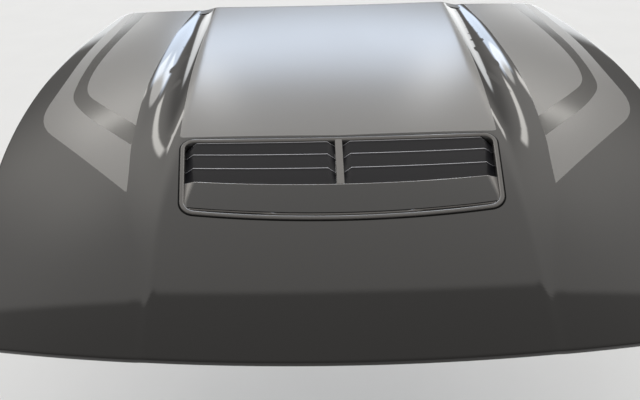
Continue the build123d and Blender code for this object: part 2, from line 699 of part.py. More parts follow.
with BuildPart() as strut_rod:
    with BuildSketch(STRUT_PLANE):
        Polygon(
            (PISTON_START, 0),
            (PISTON_START, TUBE_BORE - PISTON_GAP),
            (PISTON_START + PISTON_LENGTH, TUBE_BORE - PISTON_GAP),
            (PISTON_START + PISTON_LENGTH, ROD_RADIUS),
            (STRUT_LENGTH - ROD_EYE_RADIUS + WELD_LAP, ROD_RADIUS),
            (STRUT_LENGTH - ROD_EYE_RADIUS + WELD_LAP, 0),
            align=None,
        )
    revolve(axis=Axis(STRUT_PLANE.origin, STRUT_PLANE.x_dir))
    with BuildSketch(Plane.YZ.offset(STRUT_X - EYE_WIDTH / 2)):
        with Locations((TOP_Y, TOP_Z)):
            Circle(ROD_EYE_RADIUS)
            Circle(ROD_EYE_BORE, mode=Mode.SUBTRACT)
    extrude(amount=EYE_WIDTH)
save_pair(strut_rod.part, "strut_rod")

# Striker plate and its strap
STRIKER_Y = FRONT_CENTRE_Y + STRIKER_BEHIND_NOSE
PLATE_FRONT_Y = STRIKER_Y - STRIKER_PLATE_LENGTH / 2
PLATE_REAR_Y = STRIKER_Y + STRIKER_PLATE_LENGTH / 2
PLATE_DEPTH = PANEL_DEPTH + STRIKER_PLATE_SHEET
with BuildPart() as striker_plate:
    add(plain(PANEL_DEPTH, PLATE_DEPTH))
    add(
        tall_block(-STRIKER_PLATE_WIDTH / 2, STRIKER_PLATE_WIDTH / 2, PLATE_FRONT_Y, PLATE_REAR_Y),
        mode=Mode.INTERSECT,
    )
save(striker_plate.part, "striker_plate")
STRAP_BOTTOM = centre_height(STRIKER_Y) - PLATE_DEPTH - STRIKER_DROP
STRAP_HEIGHT = 2 * STRIKER_DROP
with BuildPart() as latch_striker:
    with BuildSketch(Plane.XZ.offset(-STRIKER_Y)):
        with Locations((0, STRAP_BOTTOM + STRAP_HEIGHT / 2)):
            RectangleRounded(STRIKER_WIDTH, STRAP_HEIGHT, STRIKER_BEND)
            RectangleRounded(
                STRIKER_WIDTH - 2 * STRIKER_STRAP,
                STRAP_HEIGHT - 2 * STRIKER_STRAP,
                STRIKER_BEND / 2,
                mode=Mode.SUBTRACT,
            )
    extrude(amount=STRIKER_STRAP / 2, both=True)
    add(plain(-4 * PANEL_DEPTH, PLATE_DEPTH), mode=Mode.SUBTRACT)
save(latch_striker.part, "latch_striker")

# Bump stop, left: a rubber buffer, turned about an axis square to the inner panel
STOP_SEAT = plain_seat(
    WIDEST_HALF_WIDTH - BUMP_STOP_INSET, FRONT_CENTRE_Y + BUMP_STOP_BEHIND_NOSE, PANEL_DEPTH + SEAT_GAP
)
with BuildPart() as bump_stop:
    with BuildSketch(Plane(STOP_SEAT.origin, x_dir=STOP_SEAT.x_dir, z_dir=-STOP_SEAT.y_dir)):
        Polygon(
            (0, 0),
            (BUMP_STOP_RADIUS, 0),
            (BUMP_STOP_RADIUS, BUMP_STOP_HEIGHT / 4),
            (BUMP_STOP_WAIST, BUMP_STOP_HEIGHT / 2),
            (BUMP_STOP_TIP, BUMP_STOP_HEIGHT),
            (0, BUMP_STOP_HEIGHT),
            align=None,
        )
    revolve(axis=Axis(STOP_SEAT.origin, STOP_SEAT.z_dir))
save_pair(bump_stop.part, "bump_stop")

# Front seal: a rubber strip with a bulb, under the nose of the inner panel
SEAL_HALF_LENGTH = WIDEST_HALF_WIDTH - SEAL_END_INSET
BULB_INSET = SEAL_INSET + (SEAL_FOOT_WIDTH - SEAL_BULB_WIDTH) / 2
with BuildPart() as seal_bulb:
    add(plain(PANEL_DEPTH + SEAL_FOOT_HEIGHT / 2, PANEL_DEPTH + SEAL_HEIGHT))
    add(upright(panel_outline(BULB_INSET), panel_outline(BULB_INSET + SEAL_BULB_WIDTH)), mode=Mode.INTERSECT)
with BuildPart() as front_seal:
    add(plain(PANEL_DEPTH, PANEL_DEPTH + SEAL_FOOT_HEIGHT))
    add(upright(panel_outline(SEAL_INSET), panel_outline(SEAL_INSET + SEAL_FOOT_WIDTH)), mode=Mode.INTERSECT)
    add(seal_bulb.part)
    add(
        tall_block(-SEAL_HALF_LENGTH, SEAL_HALF_LENGTH, FRONT_CENTRE_Y, VENT_FRONT_Y),
        mode=Mode.INTERSECT,
    )
save(front_seal.part, "front_seal")

# Sound pad and its push clips
PAD_FRONT_Y = VENT_REAR_Y + PAD_BEHIND_VENT
PAD_CENTRE_Y = (PAD_FRONT_Y + PAD_REAR_Y) / 2
PAD_LENGTH = PAD_REAR_Y - PAD_FRONT_Y
with BuildPart() as insulator_pad:
    add(plain(PANEL_DEPTH, PANEL_DEPTH + PAD_THICKNESS))
    with BuildSketch(Plane.XY.offset(-PLAN_HEIGHT / 2)):
        with Locations((0, PAD_CENTRE_Y)):
            RectangleRounded(2 * PAD_HALF_WIDTH, PAD_LENGTH, PAD_RADIUS)
    extrude(amount=PLAN_HEIGHT, mode=Mode.INTERSECT)
save(insulator_pad.part, "insulator_pad")
with BuildPart() as liner_clips:
    add(plain(PANEL_DEPTH + PAD_THICKNESS, PANEL_DEPTH + PAD_THICKNESS + CLIP_THICKNESS))
    with BuildSketch(Plane.XY.offset(-PLAN_HEIGHT / 2)):
        for share_x, share_y in CLIPS:
            with Locations((share_x * PAD_HALF_WIDTH, PAD_CENTRE_Y + share_y * PAD_LENGTH / 2)):
                Circle(CLIP_RADIUS)
    extrude(amount=PLAN_HEIGHT, mode=Mode.INTERSECT)
save(liner_clips.part, "liner_clips")
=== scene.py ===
"""Looks of a vented muscle car bonnet with its hinges, gas struts, latch striker and lining.

Metres throughout. +Z is up, +Y points to the windscreen, +X is the car's own left, and the bonnet is shut.
Surfaces are worked out with numpy as grids of points, on the same pressed form as the sheet metal.
"""
import logging
import math
from dataclasses import dataclass
from enum import Enum
from functools import lru_cache

import bmesh
import bpy
import numpy as np
from mathutils import Matrix, Vector


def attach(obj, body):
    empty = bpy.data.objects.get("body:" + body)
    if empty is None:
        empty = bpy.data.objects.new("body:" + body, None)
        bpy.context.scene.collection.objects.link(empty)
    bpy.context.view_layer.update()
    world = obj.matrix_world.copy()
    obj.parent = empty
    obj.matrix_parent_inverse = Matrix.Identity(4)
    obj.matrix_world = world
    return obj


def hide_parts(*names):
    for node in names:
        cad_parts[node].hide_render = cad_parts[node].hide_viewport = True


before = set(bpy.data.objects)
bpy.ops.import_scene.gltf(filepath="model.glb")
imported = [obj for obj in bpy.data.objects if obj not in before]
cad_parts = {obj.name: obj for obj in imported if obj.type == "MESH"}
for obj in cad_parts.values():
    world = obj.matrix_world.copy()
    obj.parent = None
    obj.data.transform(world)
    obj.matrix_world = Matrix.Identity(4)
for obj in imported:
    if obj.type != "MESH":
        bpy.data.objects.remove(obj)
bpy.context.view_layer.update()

LOG = logging.getLogger("bonnet")
MM = 0.001

Pair = tuple[float, float]
Triple = tuple[float, float, float]
Place = Triple | np.ndarray
Socket = bpy.types.NodeSocket


# Finishes


class Bench:
    """A node tree being filled, with short ways to add to it."""

    def __init__(self, tree: bpy.types.NodeTree) -> None:
        """Takes the tree of a material or of the world."""
        self.nodes, self.links = tree.nodes, tree.links

    def ranged(self, socket: Socket, low: float, high: float, to_low: float, to_high: float) -> Socket:
        """A value carried by a smooth step from one range to another, held at its ends.

        Args:
            socket: the value.
            low, high: its range.
            to_low, to_high: the range that it is carried to.

        Returns:
            The new value.
        """
        node = self.nodes.new("ShaderNodeMapRange")
        node.interpolation_type = "SMOOTHSTEP"
        for name, value in (("From Min", low), ("From Max", high), ("To Min", to_low), ("To Max", to_high)):
            node.inputs[name].default_value = value
        self.links.new(socket, node.inputs["Value"])
        return node.outputs["Result"]

    def between(self, share: Socket, first: float, second: float) -> Socket:
        """A number between two, by a share from 0 to 1."""
        return self.ranged(share, 0.0, 1.0, first, second)

    def combine(self, way: str, *sockets: Socket) -> Socket:
        """One or two values put together.

        Args:
            way: the Math node's operation.
            sockets: the values.

        Returns:
            The result.
        """
        node = self.nodes.new("ShaderNodeMath")
        node.operation = way
        for i, socket in enumerate(sockets):
            self.links.new(socket, node.inputs[i])
        return node.outputs[0]


class Recipe(Bench):
    """A material being made: its nodes, its shader and short ways to add to it."""

    def __init__(self, name: str) -> None:
        """Starts a material with one Principled shader.

        Args:
            name: the material's name.
        """
        self.material = bpy.data.materials.new(name)
        self.material.use_nodes = True
        super().__init__(self.material.node_tree)
        self.shader = self.nodes["Principled BSDF"]
        self.place = self.nodes.new("ShaderNodeTexCoord").outputs["Object"]

    def set(self, **values: object) -> None:
        """Sets plain values on the shader.

        Args:
            values: numbers or colours by the socket's name, with spaces written as underscores.
        """
        for name, value in values.items():
            socket = self.shader.inputs[name.replace("_", " ")]
            socket.default_value = (*value, 1.0) if isinstance(value, tuple) else value

    def feed(self, name: str, socket: Socket) -> None:
        """Joins a socket to an input of the shader."""
        self.links.new(socket, self.shader.inputs[name])

    def grain(self, kind: str, scale: float, stretch: Triple) -> bpy.types.Node:
        """A texture node on the object's own coordinates.

        Args:
            kind: the node's type.
            scale: grains per metre.
            stretch: scale along each axis.

        Returns:
            The node.
        """
        mapping = self.nodes.new("ShaderNodeMapping")
        mapping.inputs["Scale"].default_value = stretch
        self.links.new(self.place, mapping.inputs["Vector"])
        node = self.nodes.new(kind)
        node.inputs["Scale"].default_value = scale
        self.links.new(mapping.outputs["Vector"], node.inputs["Vector"])
        return node

    def noise(self, scale: float, detail: float = 3.0, stretch: Triple = (1, 1, 1)) -> Socket:
        """Soft random values between 0 and 1.

        Args:
            scale: grains per metre.
            detail: how many finer layers.
            stretch: scale along each axis.

        Returns:
            The values.
        """
        node = self.grain("ShaderNodeTexNoise", scale, stretch)
        node.inputs["Detail"].default_value = detail
        return node.outputs["Fac"]

    def cells(self, scale: float) -> Socket:
        """Distance to scattered points, about 1 / scale metres apart."""
        return self.grain("ShaderNodeTexVoronoi", scale, (1, 1, 1)).outputs["Distance"]

    def mark(self, name: str) -> Socket:
        """The value of a mark that the mesh carries per point.

        Args:
            name: the mark's name.

        Returns:
            The value.
        """
        node = self.nodes.new("ShaderNodeAttribute")
        node.attribute_name = name
        return node.outputs["Fac"]

    def blend(self, share: Socket, first: object, second: object) -> Socket:
        """A colour between two.

        Args:
            share: 0 for the first, 1 for the second.
            first, second: each a socket or three numbers.

        Returns:
            The colour.
        """
        node = self.nodes.new("ShaderNodeMix")
        node.data_type = "RGBA"
        self.links.new(share, node.inputs["Factor"])
        for name, value in (("A", first), ("B", second)):
            socket = next(s for s in node.inputs if s.name == name and s.type == "RGBA")
            if isinstance(value, tuple):
                socket.default_value = (*value, 1.0)
            else:
                self.links.new(value, socket)
        return next(s for s in node.outputs if s.type == "RGBA")

    def mottled(self, share: Socket, colour: Triple, lift: float) -> Socket:
        """A colour and a lighter one, mixed by a share."""
        return self.blend(share, colour, tuple(c * lift for c in colour))

    def bump(self, height: Socket, distance: float, strength: float = 1.0) -> None:
        """Relief on the shader's normal.

        Args:
            height: its shape, from 0 to 1.
            distance: its depth in metres.
            strength: how much of it shows.
        """
        node = self.nodes.new("ShaderNodeBump")
        node.inputs["Strength"].default_value = strength
        node.inputs["Distance"].default_value = distance
        self.links.new(height, node.inputs["Height"])
        self.feed("Normal", node.outputs["Normal"])


@dataclass(frozen=True)
class BonnetPaint:
    """Gloss black paint with satin grey fields, and a darker, shinier stripe in them."""

    black: Triple = (0.0075, 0.007, 0.0068)
    satin: Triple = (0.150, 0.147, 0.142)
    stripe: Triple = (0.022, 0.0205, 0.018)
    fleck: float = 1.22
    edge: float = 0.0006
    gloss: float = 0.022
    matt: float = 0.23
    haze: float = 0.02
    stripe_polish: float = 0.10
    peel: float = 0.000006

    def material(self) -> bpy.types.Material:
        """Makes the finish: the fields' edges come from distances that the skin carries.

        Returns:
            The material.
        """
        r = Recipe("bonnet_paint")
        field_share = r.ranged(r.mark("satin"), -self.edge, self.edge, 0.0, 1.0)
        stripe_share = r.ranged(r.mark("stripe"), -self.edge, self.edge, 0.0, 1.0)
        satin = r.mottled(r.ranged(r.noise(2600, 1.0), 0.35, 0.75, 0.0, 1.0), self.satin, self.fleck)
        colour = r.blend(field_share, self.black, satin)
        r.feed("Base Color", r.blend(stripe_share, colour, self.stripe))
        haze = r.between(r.noise(9, 4.0), 0.0, self.haze)
        rough = r.combine("ADD", r.between(field_share, self.gloss, self.matt), haze)
        polish = r.between(stripe_share, 0.0, self.stripe_polish)
        r.feed("Roughness", r.combine("SUBTRACT", rough, polish))
        r.bump(r.noise(420, 2.0), self.peel)
        return r.material


@dataclass(frozen=True)
class GlossTrim:
    """High gloss black moulding of the vent's bezel and lip, with grey painted highlights on its rounded
    edges and tops, by a mark that the mesh carries.
    """

    colour: Triple = (0.003, 0.003, 0.0032)
    lift: float = 1.4
    # Colour of the painted highlights on rounded edges and tops
    highlight_grey: Triple = (0.30, 0.285, 0.27)
    haze: Pair = (0.045, 0.09)
    peel: float = 0.000005

    def material(self) -> bpy.types.Material:
        """Makes the finish, with faint polishing haze and the mark's painted highlights blended in as grey.

        Returns:
            The material.
        """
        r = Recipe("gloss_trim")
        black = r.mottled(r.noise(30), self.colour, self.lift)
        # The mark blends in the painted highlights
        r.feed("Base Color", r.blend(r.mark("tone"), black, self.highlight_grey))
        r.feed("Roughness", r.between(r.noise(14, 4.0), *self.haze))
        r.bump(r.noise(300, 2.0), self.peel)
        return r.material


@dataclass(frozen=True)
class LouvrePlastic:
    """Fine grained dark plastic of the louvres, with a painted highlight along the blades' top edges."""

    colour: Triple = (0.0055, 0.0055, 0.0085)
    lift: float = 1.35
    # Colour of the painted highlight along the blades' top edges
    edge_highlight: Triple = (0.46, 0.465, 0.50)
    rough: Pair = (0.42, 0.22)
    haze: float = 0.06
    grain: float = 0.00004

    def material(self) -> bpy.types.Material:
        """Makes the finish: grain all over, and along the top edge, by its mark, a painted highlight: a
        lighter colour with smoother roughness.

        Returns:
            The material.
        """
        r = Recipe("louvre_plastic")
        # The edge mark places the painted highlight along the top edges
        edge = r.ranged(r.mark("edge"), 0.2, 0.9, 0.0, 1.0)
        base = r.mottled(r.noise(60, 5.0), self.colour, self.lift)
        r.feed("Base Color", r.blend(edge, base, self.edge_highlight))
        haze = r.between(r.noise(25, 4.0), 0.0, self.haze)
        r.feed("Roughness", r.combine("ADD", r.between(edge, *self.rough), haze))
        r.bump(r.cells(1400), self.grain, 0.5)
        return r.material


@dataclass(frozen=True)
class Mottled:
    """A finish with patches of a second colour, a changing shine and a fine relief, each by its own noise."""

    name: str
    colour: Triple
    second: Triple
    # Grains per metre, finer layers, where the second colour starts and ends to grow, and its most
    patches: tuple[float, ...]
    # Grains per metre, finer layers, and the roughness at both ends
    shine: tuple[float, ...]
    # Grains per metre, finer layers, depth and strength
    relief: tuple[float, ...]
    stretch: Triple = (1, 1, 1)
    metal: float = 0.0
    glint: float = 0.5

    def material(self) -> bpy.types.Material:
        """Makes the finish.

        Returns:
            The material.
        """
        r = Recipe(self.name)
        scale, detail, low, high, most = self.patches
        patches = r.ranged(r.noise(scale, detail), low, high, 0.0, most)
        r.feed("Base Color", r.blend(patches, self.colour, self.second))
        scale, detail, smooth, rough = self.shine
        r.feed("Roughness", r.between(r.noise(scale, detail, self.stretch), smooth, rough))
        r.set(Metallic=self.metal, Specular_IOR_Level=self.glint)
        scale, detail, depth, strength = self.relief
        r.bump(r.noise(scale, detail, self.stretch), depth, strength)
        return r.material


@dataclass(frozen=True)
class Fleece:
    """Needled black fleece of the sound pad: short crossed fibres and lighter lint."""

    colour: Triple = (0.017, 0.017, 0.018)
    lint: Triple = (0.075, 0.073, 0.070)
    fibre: float = 0.12
    nap: float = 0.0006

    def material(self) -> bpy.types.Material:
        """Makes the finish: two sets of stretched noise, crossed.

        Returns:
            The material.
        """
        r = Recipe("pad_fabric")
        along, across = r.noise(900, 3.0, (1, self.fibre, 1)), r.noise(900, 3.0, (self.fibre, 1, 1))
        fibres = r.combine("MULTIPLY", along, across)
        r.feed("Base Color", r.blend(r.ranged(fibres, 0.22, 0.42, 0.0, 0.8), self.colour, self.lint))
        r.set(Roughness=0.95, Sheen_Weight=0.25, Sheen_Roughness=0.5)
        r.bump(fibres, self.nap, 0.9)
        return r.material


@dataclass(frozen=True)
class ClipPlastic:
    """Moulded black nylon of the push clips."""

    colour: Triple = (0.02, 0.02, 0.02)
    lift: float = 1.6
    rough: Pair = (0.38, 0.52)
    grain: float = 0.00002

    def material(self) -> bpy.types.Material:
        """Makes the finish.

        Returns:
            The material.
        """
        r = Recipe("clip_plastic")
        r.feed("Base Color", r.mottled(r.noise(200), self.colour, self.lift))
        r.feed("Roughness", r.between(r.noise(90), *self.rough))
        r.bump(r.noise(1800, 2.0), self.grain, 0.5)
        return r.material


class Finish(Enum):
    """The finishes by the record's slots."""

    PAINT = "bonnet_paint"
    COAT = "inner_paint"
    TRIM = "gloss_trim"
    LOUVRE = "louvre_plastic"
    HINGE = "hinge_paint"
    ZINC = "zinc_steel"
    STRUT = "strut_paint"
    CHROME = "strut_chrome"
    RUBBER = "seal_rubber"
    FLEECE = "pad_fabric"
    CLIP = "clip_plastic"


# Patches and relief that several finishes share: dust and orange peel on paint, spangle and grain on metal
DUST = (7, 6.0, 0.45, 0.8, 0.6)
PEEL = (700, 2.0, 0.00002, 0.6)
SPANGLE = (140, 4.0, 0.35, 0.7, 1.0)
BRUSHED = (900, 2.0, 0.00001, 0.5)

RECIPES = {
    Finish.PAINT: BonnetPaint(),
    Finish.COAT: Mottled(
        "inner_paint", (0.016, 0.016, 0.017), (0.045, 0.043, 0.040), DUST, (18, 5.0, 0.28, 0.44), PEEL,
    ),
    Finish.TRIM: GlossTrim(),
    Finish.LOUVRE: LouvrePlastic(),
    Finish.HINGE: Mottled(
        "hinge_paint", (0.020, 0.020, 0.021), (0.05, 0.048, 0.045), DUST, (18, 5.0, 0.36, 0.52), PEEL,
    ),
    Finish.ZINC: Mottled(
        "zinc_steel", (0.60, 0.58, 0.52), (0.44, 0.42, 0.34), SPANGLE, (220, 4.0, 0.24, 0.42), BRUSHED,
        metal=1.0,
    ),
    Finish.STRUT: Mottled(
        "strut_paint", (0.014, 0.014, 0.014), (0.03, 0.03, 0.03), DUST, (18, 5.0, 0.22, 0.38), PEEL,
    ),
    Finish.CHROME: Mottled(
        "strut_chrome", (0.80, 0.80, 0.82), (0.74, 0.75, 0.78), SPANGLE, (220, 4.0, 0.06, 0.13), BRUSHED,
        stretch=(1, 0.1, 1), metal=1.0,
    ),
    Finish.RUBBER: Mottled(
        "seal_rubber", (0.002, 0.002, 0.002), (0.007, 0.007, 0.0065), (45, 5.0, 0.4, 0.75, 0.7),
        (120, 3.0, 0.62, 0.82), (1500, 3.0, 0.00005, 0.6), glint=0.08,
    ),
    Finish.FLEECE: Fleece(),
    Finish.CLIP: ClipPlastic(),
}


@lru_cache(maxsize=None)
def material_of(finish: Finish) -> bpy.types.Material:
    """The finish's material, made when it is first asked for."""
    return RECIPES[finish].material()


# Meshes

# Degrees by which an edge turns before it shades crisply
SHELL_CREASE = 38
SHEET_CREASE = 30


class Shell:
    """Collects grids of points and makes one smooth mesh object of them."""

    def __init__(self, name: str) -> None:
        """Starts an empty piece.

        Args:
            name: the piece's plain name.
        """
        self.name = name
        self.points: list[np.ndarray] = []
        self.quads: list[np.ndarray] = []
        self.marks: dict[str, list[np.ndarray]] = {}
        self.count = 0

    def grid(
        self, points: np.ndarray, round_u: bool = False, round_v: bool = False, **marks: np.ndarray
    ) -> None:
        """Adds a grid of points, joined to its neighbours by four-sided faces.

        Args:
            points: rows by columns by three.
            round_u: the last column joins the first.
            round_v: the last row joins the first.
            marks: values per point that materials read by name.
        """
        rows, cols = points.shape[:2]
        r = np.arange(rows if round_v else rows - 1)
        c = np.arange(cols if round_u else cols - 1)
        r, c = np.meshgrid(r, c, indexing="ij")
        r2, c2 = (r + 1) % rows, (c + 1) % cols
        quads = np.stack([r * cols + c, r * cols + c2, r2 * cols + c2, r2 * cols + c], -1).reshape(-1, 4)
        self.points.append(points.reshape(-1, 3))
        self.quads.append(quads + self.count)
        for name, values in marks.items():
            self.marks.setdefault(name, []).append(np.broadcast_to(values, (rows, cols)).ravel())
        self.count += rows * cols

    def build(self, body: str, finish: Finish, *replaces: str) -> bpy.types.Object:
        """Makes the object: closes seams and open ends, turns its faces outwards and hangs it on its body.

        Args:
            body: the CAD body that it moves with.
            finish: its finish.
            replaces: CAD nodes that it stands for.

        Returns:
            The finished object.
        """
        points = np.concatenate(self.points)
        quads = np.concatenate(self.quads)
        mesh = bpy.data.meshes.new(self.name)
        mesh.vertices.add(len(points))
        mesh.vertices.foreach_set("co", points.astype(np.float32).ravel())
        mesh.loops.add(quads.size)
        mesh.loops.foreach_set("vertex_index", quads.astype(np.int32).ravel())
        mesh.polygons.add(len(quads))
        mesh.polygons.foreach_set("loop_start", np.arange(0, quads.size, 4, dtype=np.int32))
        for name, parts in self.marks.items():
            layer = mesh.attributes.new(name, "FLOAT", "POINT")
            layer.data.foreach_set("value", np.concatenate(parts).astype(np.float32))
        mesh.update(calc_edges=True)
        mesh.validate()
        work = bmesh.new()
        work.from_mesh(mesh)
        bmesh.ops.remove_doubles(work, verts=work.verts, dist=1e-6)
        rims = [edge for edge in work.edges if edge.is_boundary]
        if rims:
            bmesh.ops.holes_fill(work, edges=rims, sides=0)
        bmesh.ops.recalc_face_normals(work, faces=work.faces)
        work.to_mesh(mesh)
        work.free()
        return hang(mesh, body, finish, SHELL_CREASE, *replaces)


def hang(mesh: bpy.types.Mesh, body: str, finish: Finish, crease: float, *replaces: str) -> bpy.types.Object:
    """Makes a smooth object of a mesh, dresses it and hangs it on its body.

    Args:
        mesh: the finished mesh, whose name the object takes.
        body: the CAD body that it moves with.
        finish: its finish.
        crease: edges that turn by more than this many degrees shade crisply.
        replaces: CAD nodes that it stands for.

    Returns:
        The object.
    """
    mesh.materials.clear()
    mesh.materials.append(material_of(finish))
    mesh.polygons.foreach_set("use_smooth", np.ones(len(mesh.polygons), bool))
    work = bmesh.new()
    work.from_mesh(mesh)
    for edge in work.edges:
        if len(edge.link_faces) == 2 and edge.calc_face_angle(0.0) > math.radians(crease):
            edge.smooth = False
    work.to_mesh(mesh)
    work.free()
    piece = bpy.data.objects.new(mesh.name, mesh)
    bpy.context.scene.collection.objects.link(piece)
    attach(piece, body)
    if replaces:
        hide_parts(*replaces)
    LOG.info("%s: %d faces", piece.name, len(mesh.polygons))
    return piece


def turned(profile: np.ndarray, origin: Place, axis: Place, count: int = 48) -> np.ndarray:
    """A surface of revolution: each profile point circles the axis at its own radius and height.

    Args:
        profile: rows of radius and height along the axis.
        origin: the axis's start.
        axis: its direction.
        count: points round the axis.

    Returns:
        Rows by columns by three.
    """
    along = np.array(axis, float)
    along /= np.linalg.norm(along)
    first = np.cross(along, (0.0, 0.0, 1.0) if abs(along[2]) < 0.9 else (1.0, 0.0, 0.0))
    first /= np.linalg.norm(first)
    second = np.cross(along, first)
    angle = np.linspace(0, 2 * np.pi, count, endpoint=False)
    ring = np.cos(angle)[:, None] * first + np.sin(angle)[:, None] * second
    radius, height = np.asarray(profile, float).T
    return np.array(origin) + radius[:, None, None] * ring[None] + height[:, None, None] * along


def tube_along(path: np.ndarray, radius: float, count: int = 16) -> np.ndarray:
    """A round bar along a path in one plane: circles square to the path, their first axis the plane's normal.

    Args:
        path: points by three.
        radius: the bar's radius.
        count: points round it.

    Returns:
        Rows by columns by three, with both ends closed to a point.
    """
    tangent = np.gradient(path, axis=0)
    tangent /= np.linalg.norm(tangent, axis=1)[:, None]
    span = path - path[0]
    normal = np.cross(span[-1], span[len(span) // 2])
    normal /= np.linalg.norm(normal)
    side = np.cross(tangent, normal)
    angle = np.linspace(0, 2 * np.pi, count, endpoint=False)
    ring = np.cos(angle)[None, :, None] * side[:, None] + np.sin(angle)[None, :, None] * normal
    return with_tips(path[:, None] + radius * ring)


def with_tips(rows: np.ndarray) -> np.ndarray:
    """A tube's rows with both ends drawn together to the middle of the end row, which closes them.

    Args:
        rows: rows by columns by three.

    Returns:
        The rows and the two tips.
    """
    first, last = (np.repeat(rows[i].mean(0)[None, None], rows.shape[1], 1) for i in (0, -1))
    return np.concatenate([first, rows, last])


# The pressed form and the plan outlines


def smooth_through(places: np.ndarray, values: np.ndarray, at: np.ndarray) -> np.ndarray:
    """A natural cubic through the given values: each span is a cubic, with no bend at either end.

    Args:
        places: the known places, rising.
        values: the values there.
        at: where the curve is read.

    Returns:
        The curve's values.
    """
    n = len(places)
    h = np.diff(places)
    system, right = np.zeros((n, n)), np.zeros(n)
    system[0, 0] = system[-1, -1] = 1.0
    inner = np.arange(1, n - 1)
    system[inner, inner - 1] = h[:-1]
    system[inner, inner] = 2 * (h[:-1] + h[1:])
    system[inner, inner + 1] = h[1:]
    right[1:-1] = 6 * (np.diff(values)[1:] / h[1:] - np.diff(values)[:-1] / h[:-1])
    m = np.linalg.solve(system, right)
    k = np.clip(np.searchsorted(places, at) - 1, 0, n - 2)
    t, hk = at - places[k], h[k]
    slope = (values[k + 1] - values[k]) / hk - hk * (2 * m[k] + m[k + 1]) / 6
    return values[k] + t * (slope + t * (m[k] / 2 + t * (m[k + 1] - m[k]) / (6 * hk)))


def arc_height(x: np.ndarray, first: tuple, middle: tuple, last: tuple) -> np.ndarray:
    """Height at x on the circle through three points of a section.

    Args:
        x: where the height is read.
        first, middle, last: the three points, each an (x, z) pair of arrays.

    Returns:
        The height.
    """
    (ax, az), (bx, bz), (cx, cz) = first, middle, last
    d = 2 * (ax * (bz - cz) + bx * (cz - az) + cx * (az - bz))
    d = np.where(np.abs(d) < 1e-12, 1e-12, d)
    a2, b2, c2 = ax**2 + az**2, bx**2 + bz**2, cx**2 + cz**2
    ux = (a2 * (bz - cz) + b2 * (cz - az) + c2 * (az - bz)) / d
    uz = (a2 * (cx - bx) + b2 * (ax - cx) + c2 * (bx - ax)) / d
    reach = np.sqrt(np.maximum((ax - ux) ** 2 + (az - uz) ** 2 - (x - ux) ** 2, 0))
    return np.where(bz > uz, uz + reach, uz - reach)


def unit(x: np.ndarray, z: np.ndarray) -> tuple[np.ndarray, np.ndarray]:
    """The same direction at length one."""
    return x / np.hypot(x, z), z / np.hypot(x, z)


def rounded(corner: tuple, before: tuple, after: tuple, reach: np.ndarray) -> tuple:
    """Middle of a corner's arc: in from the corner by the reach times the tangent of a quarter of the turn.

    Args:
        corner: the corner's x and z.
        before, after: unit directions into it and out of it.
        reach: how far before and after it the arc starts and ends.

    Returns:
        The point's x and z.
    """
    turn = np.arccos(np.clip(before[0] * after[0] + before[1] * after[1], -1, 1))
    inward = unit(after[0] - before[0], after[1] - before[1])
    depth = reach * np.tan(turn / 4)
    return corner[0] + inward[0] * depth, corner[1] + inward[1] * depth


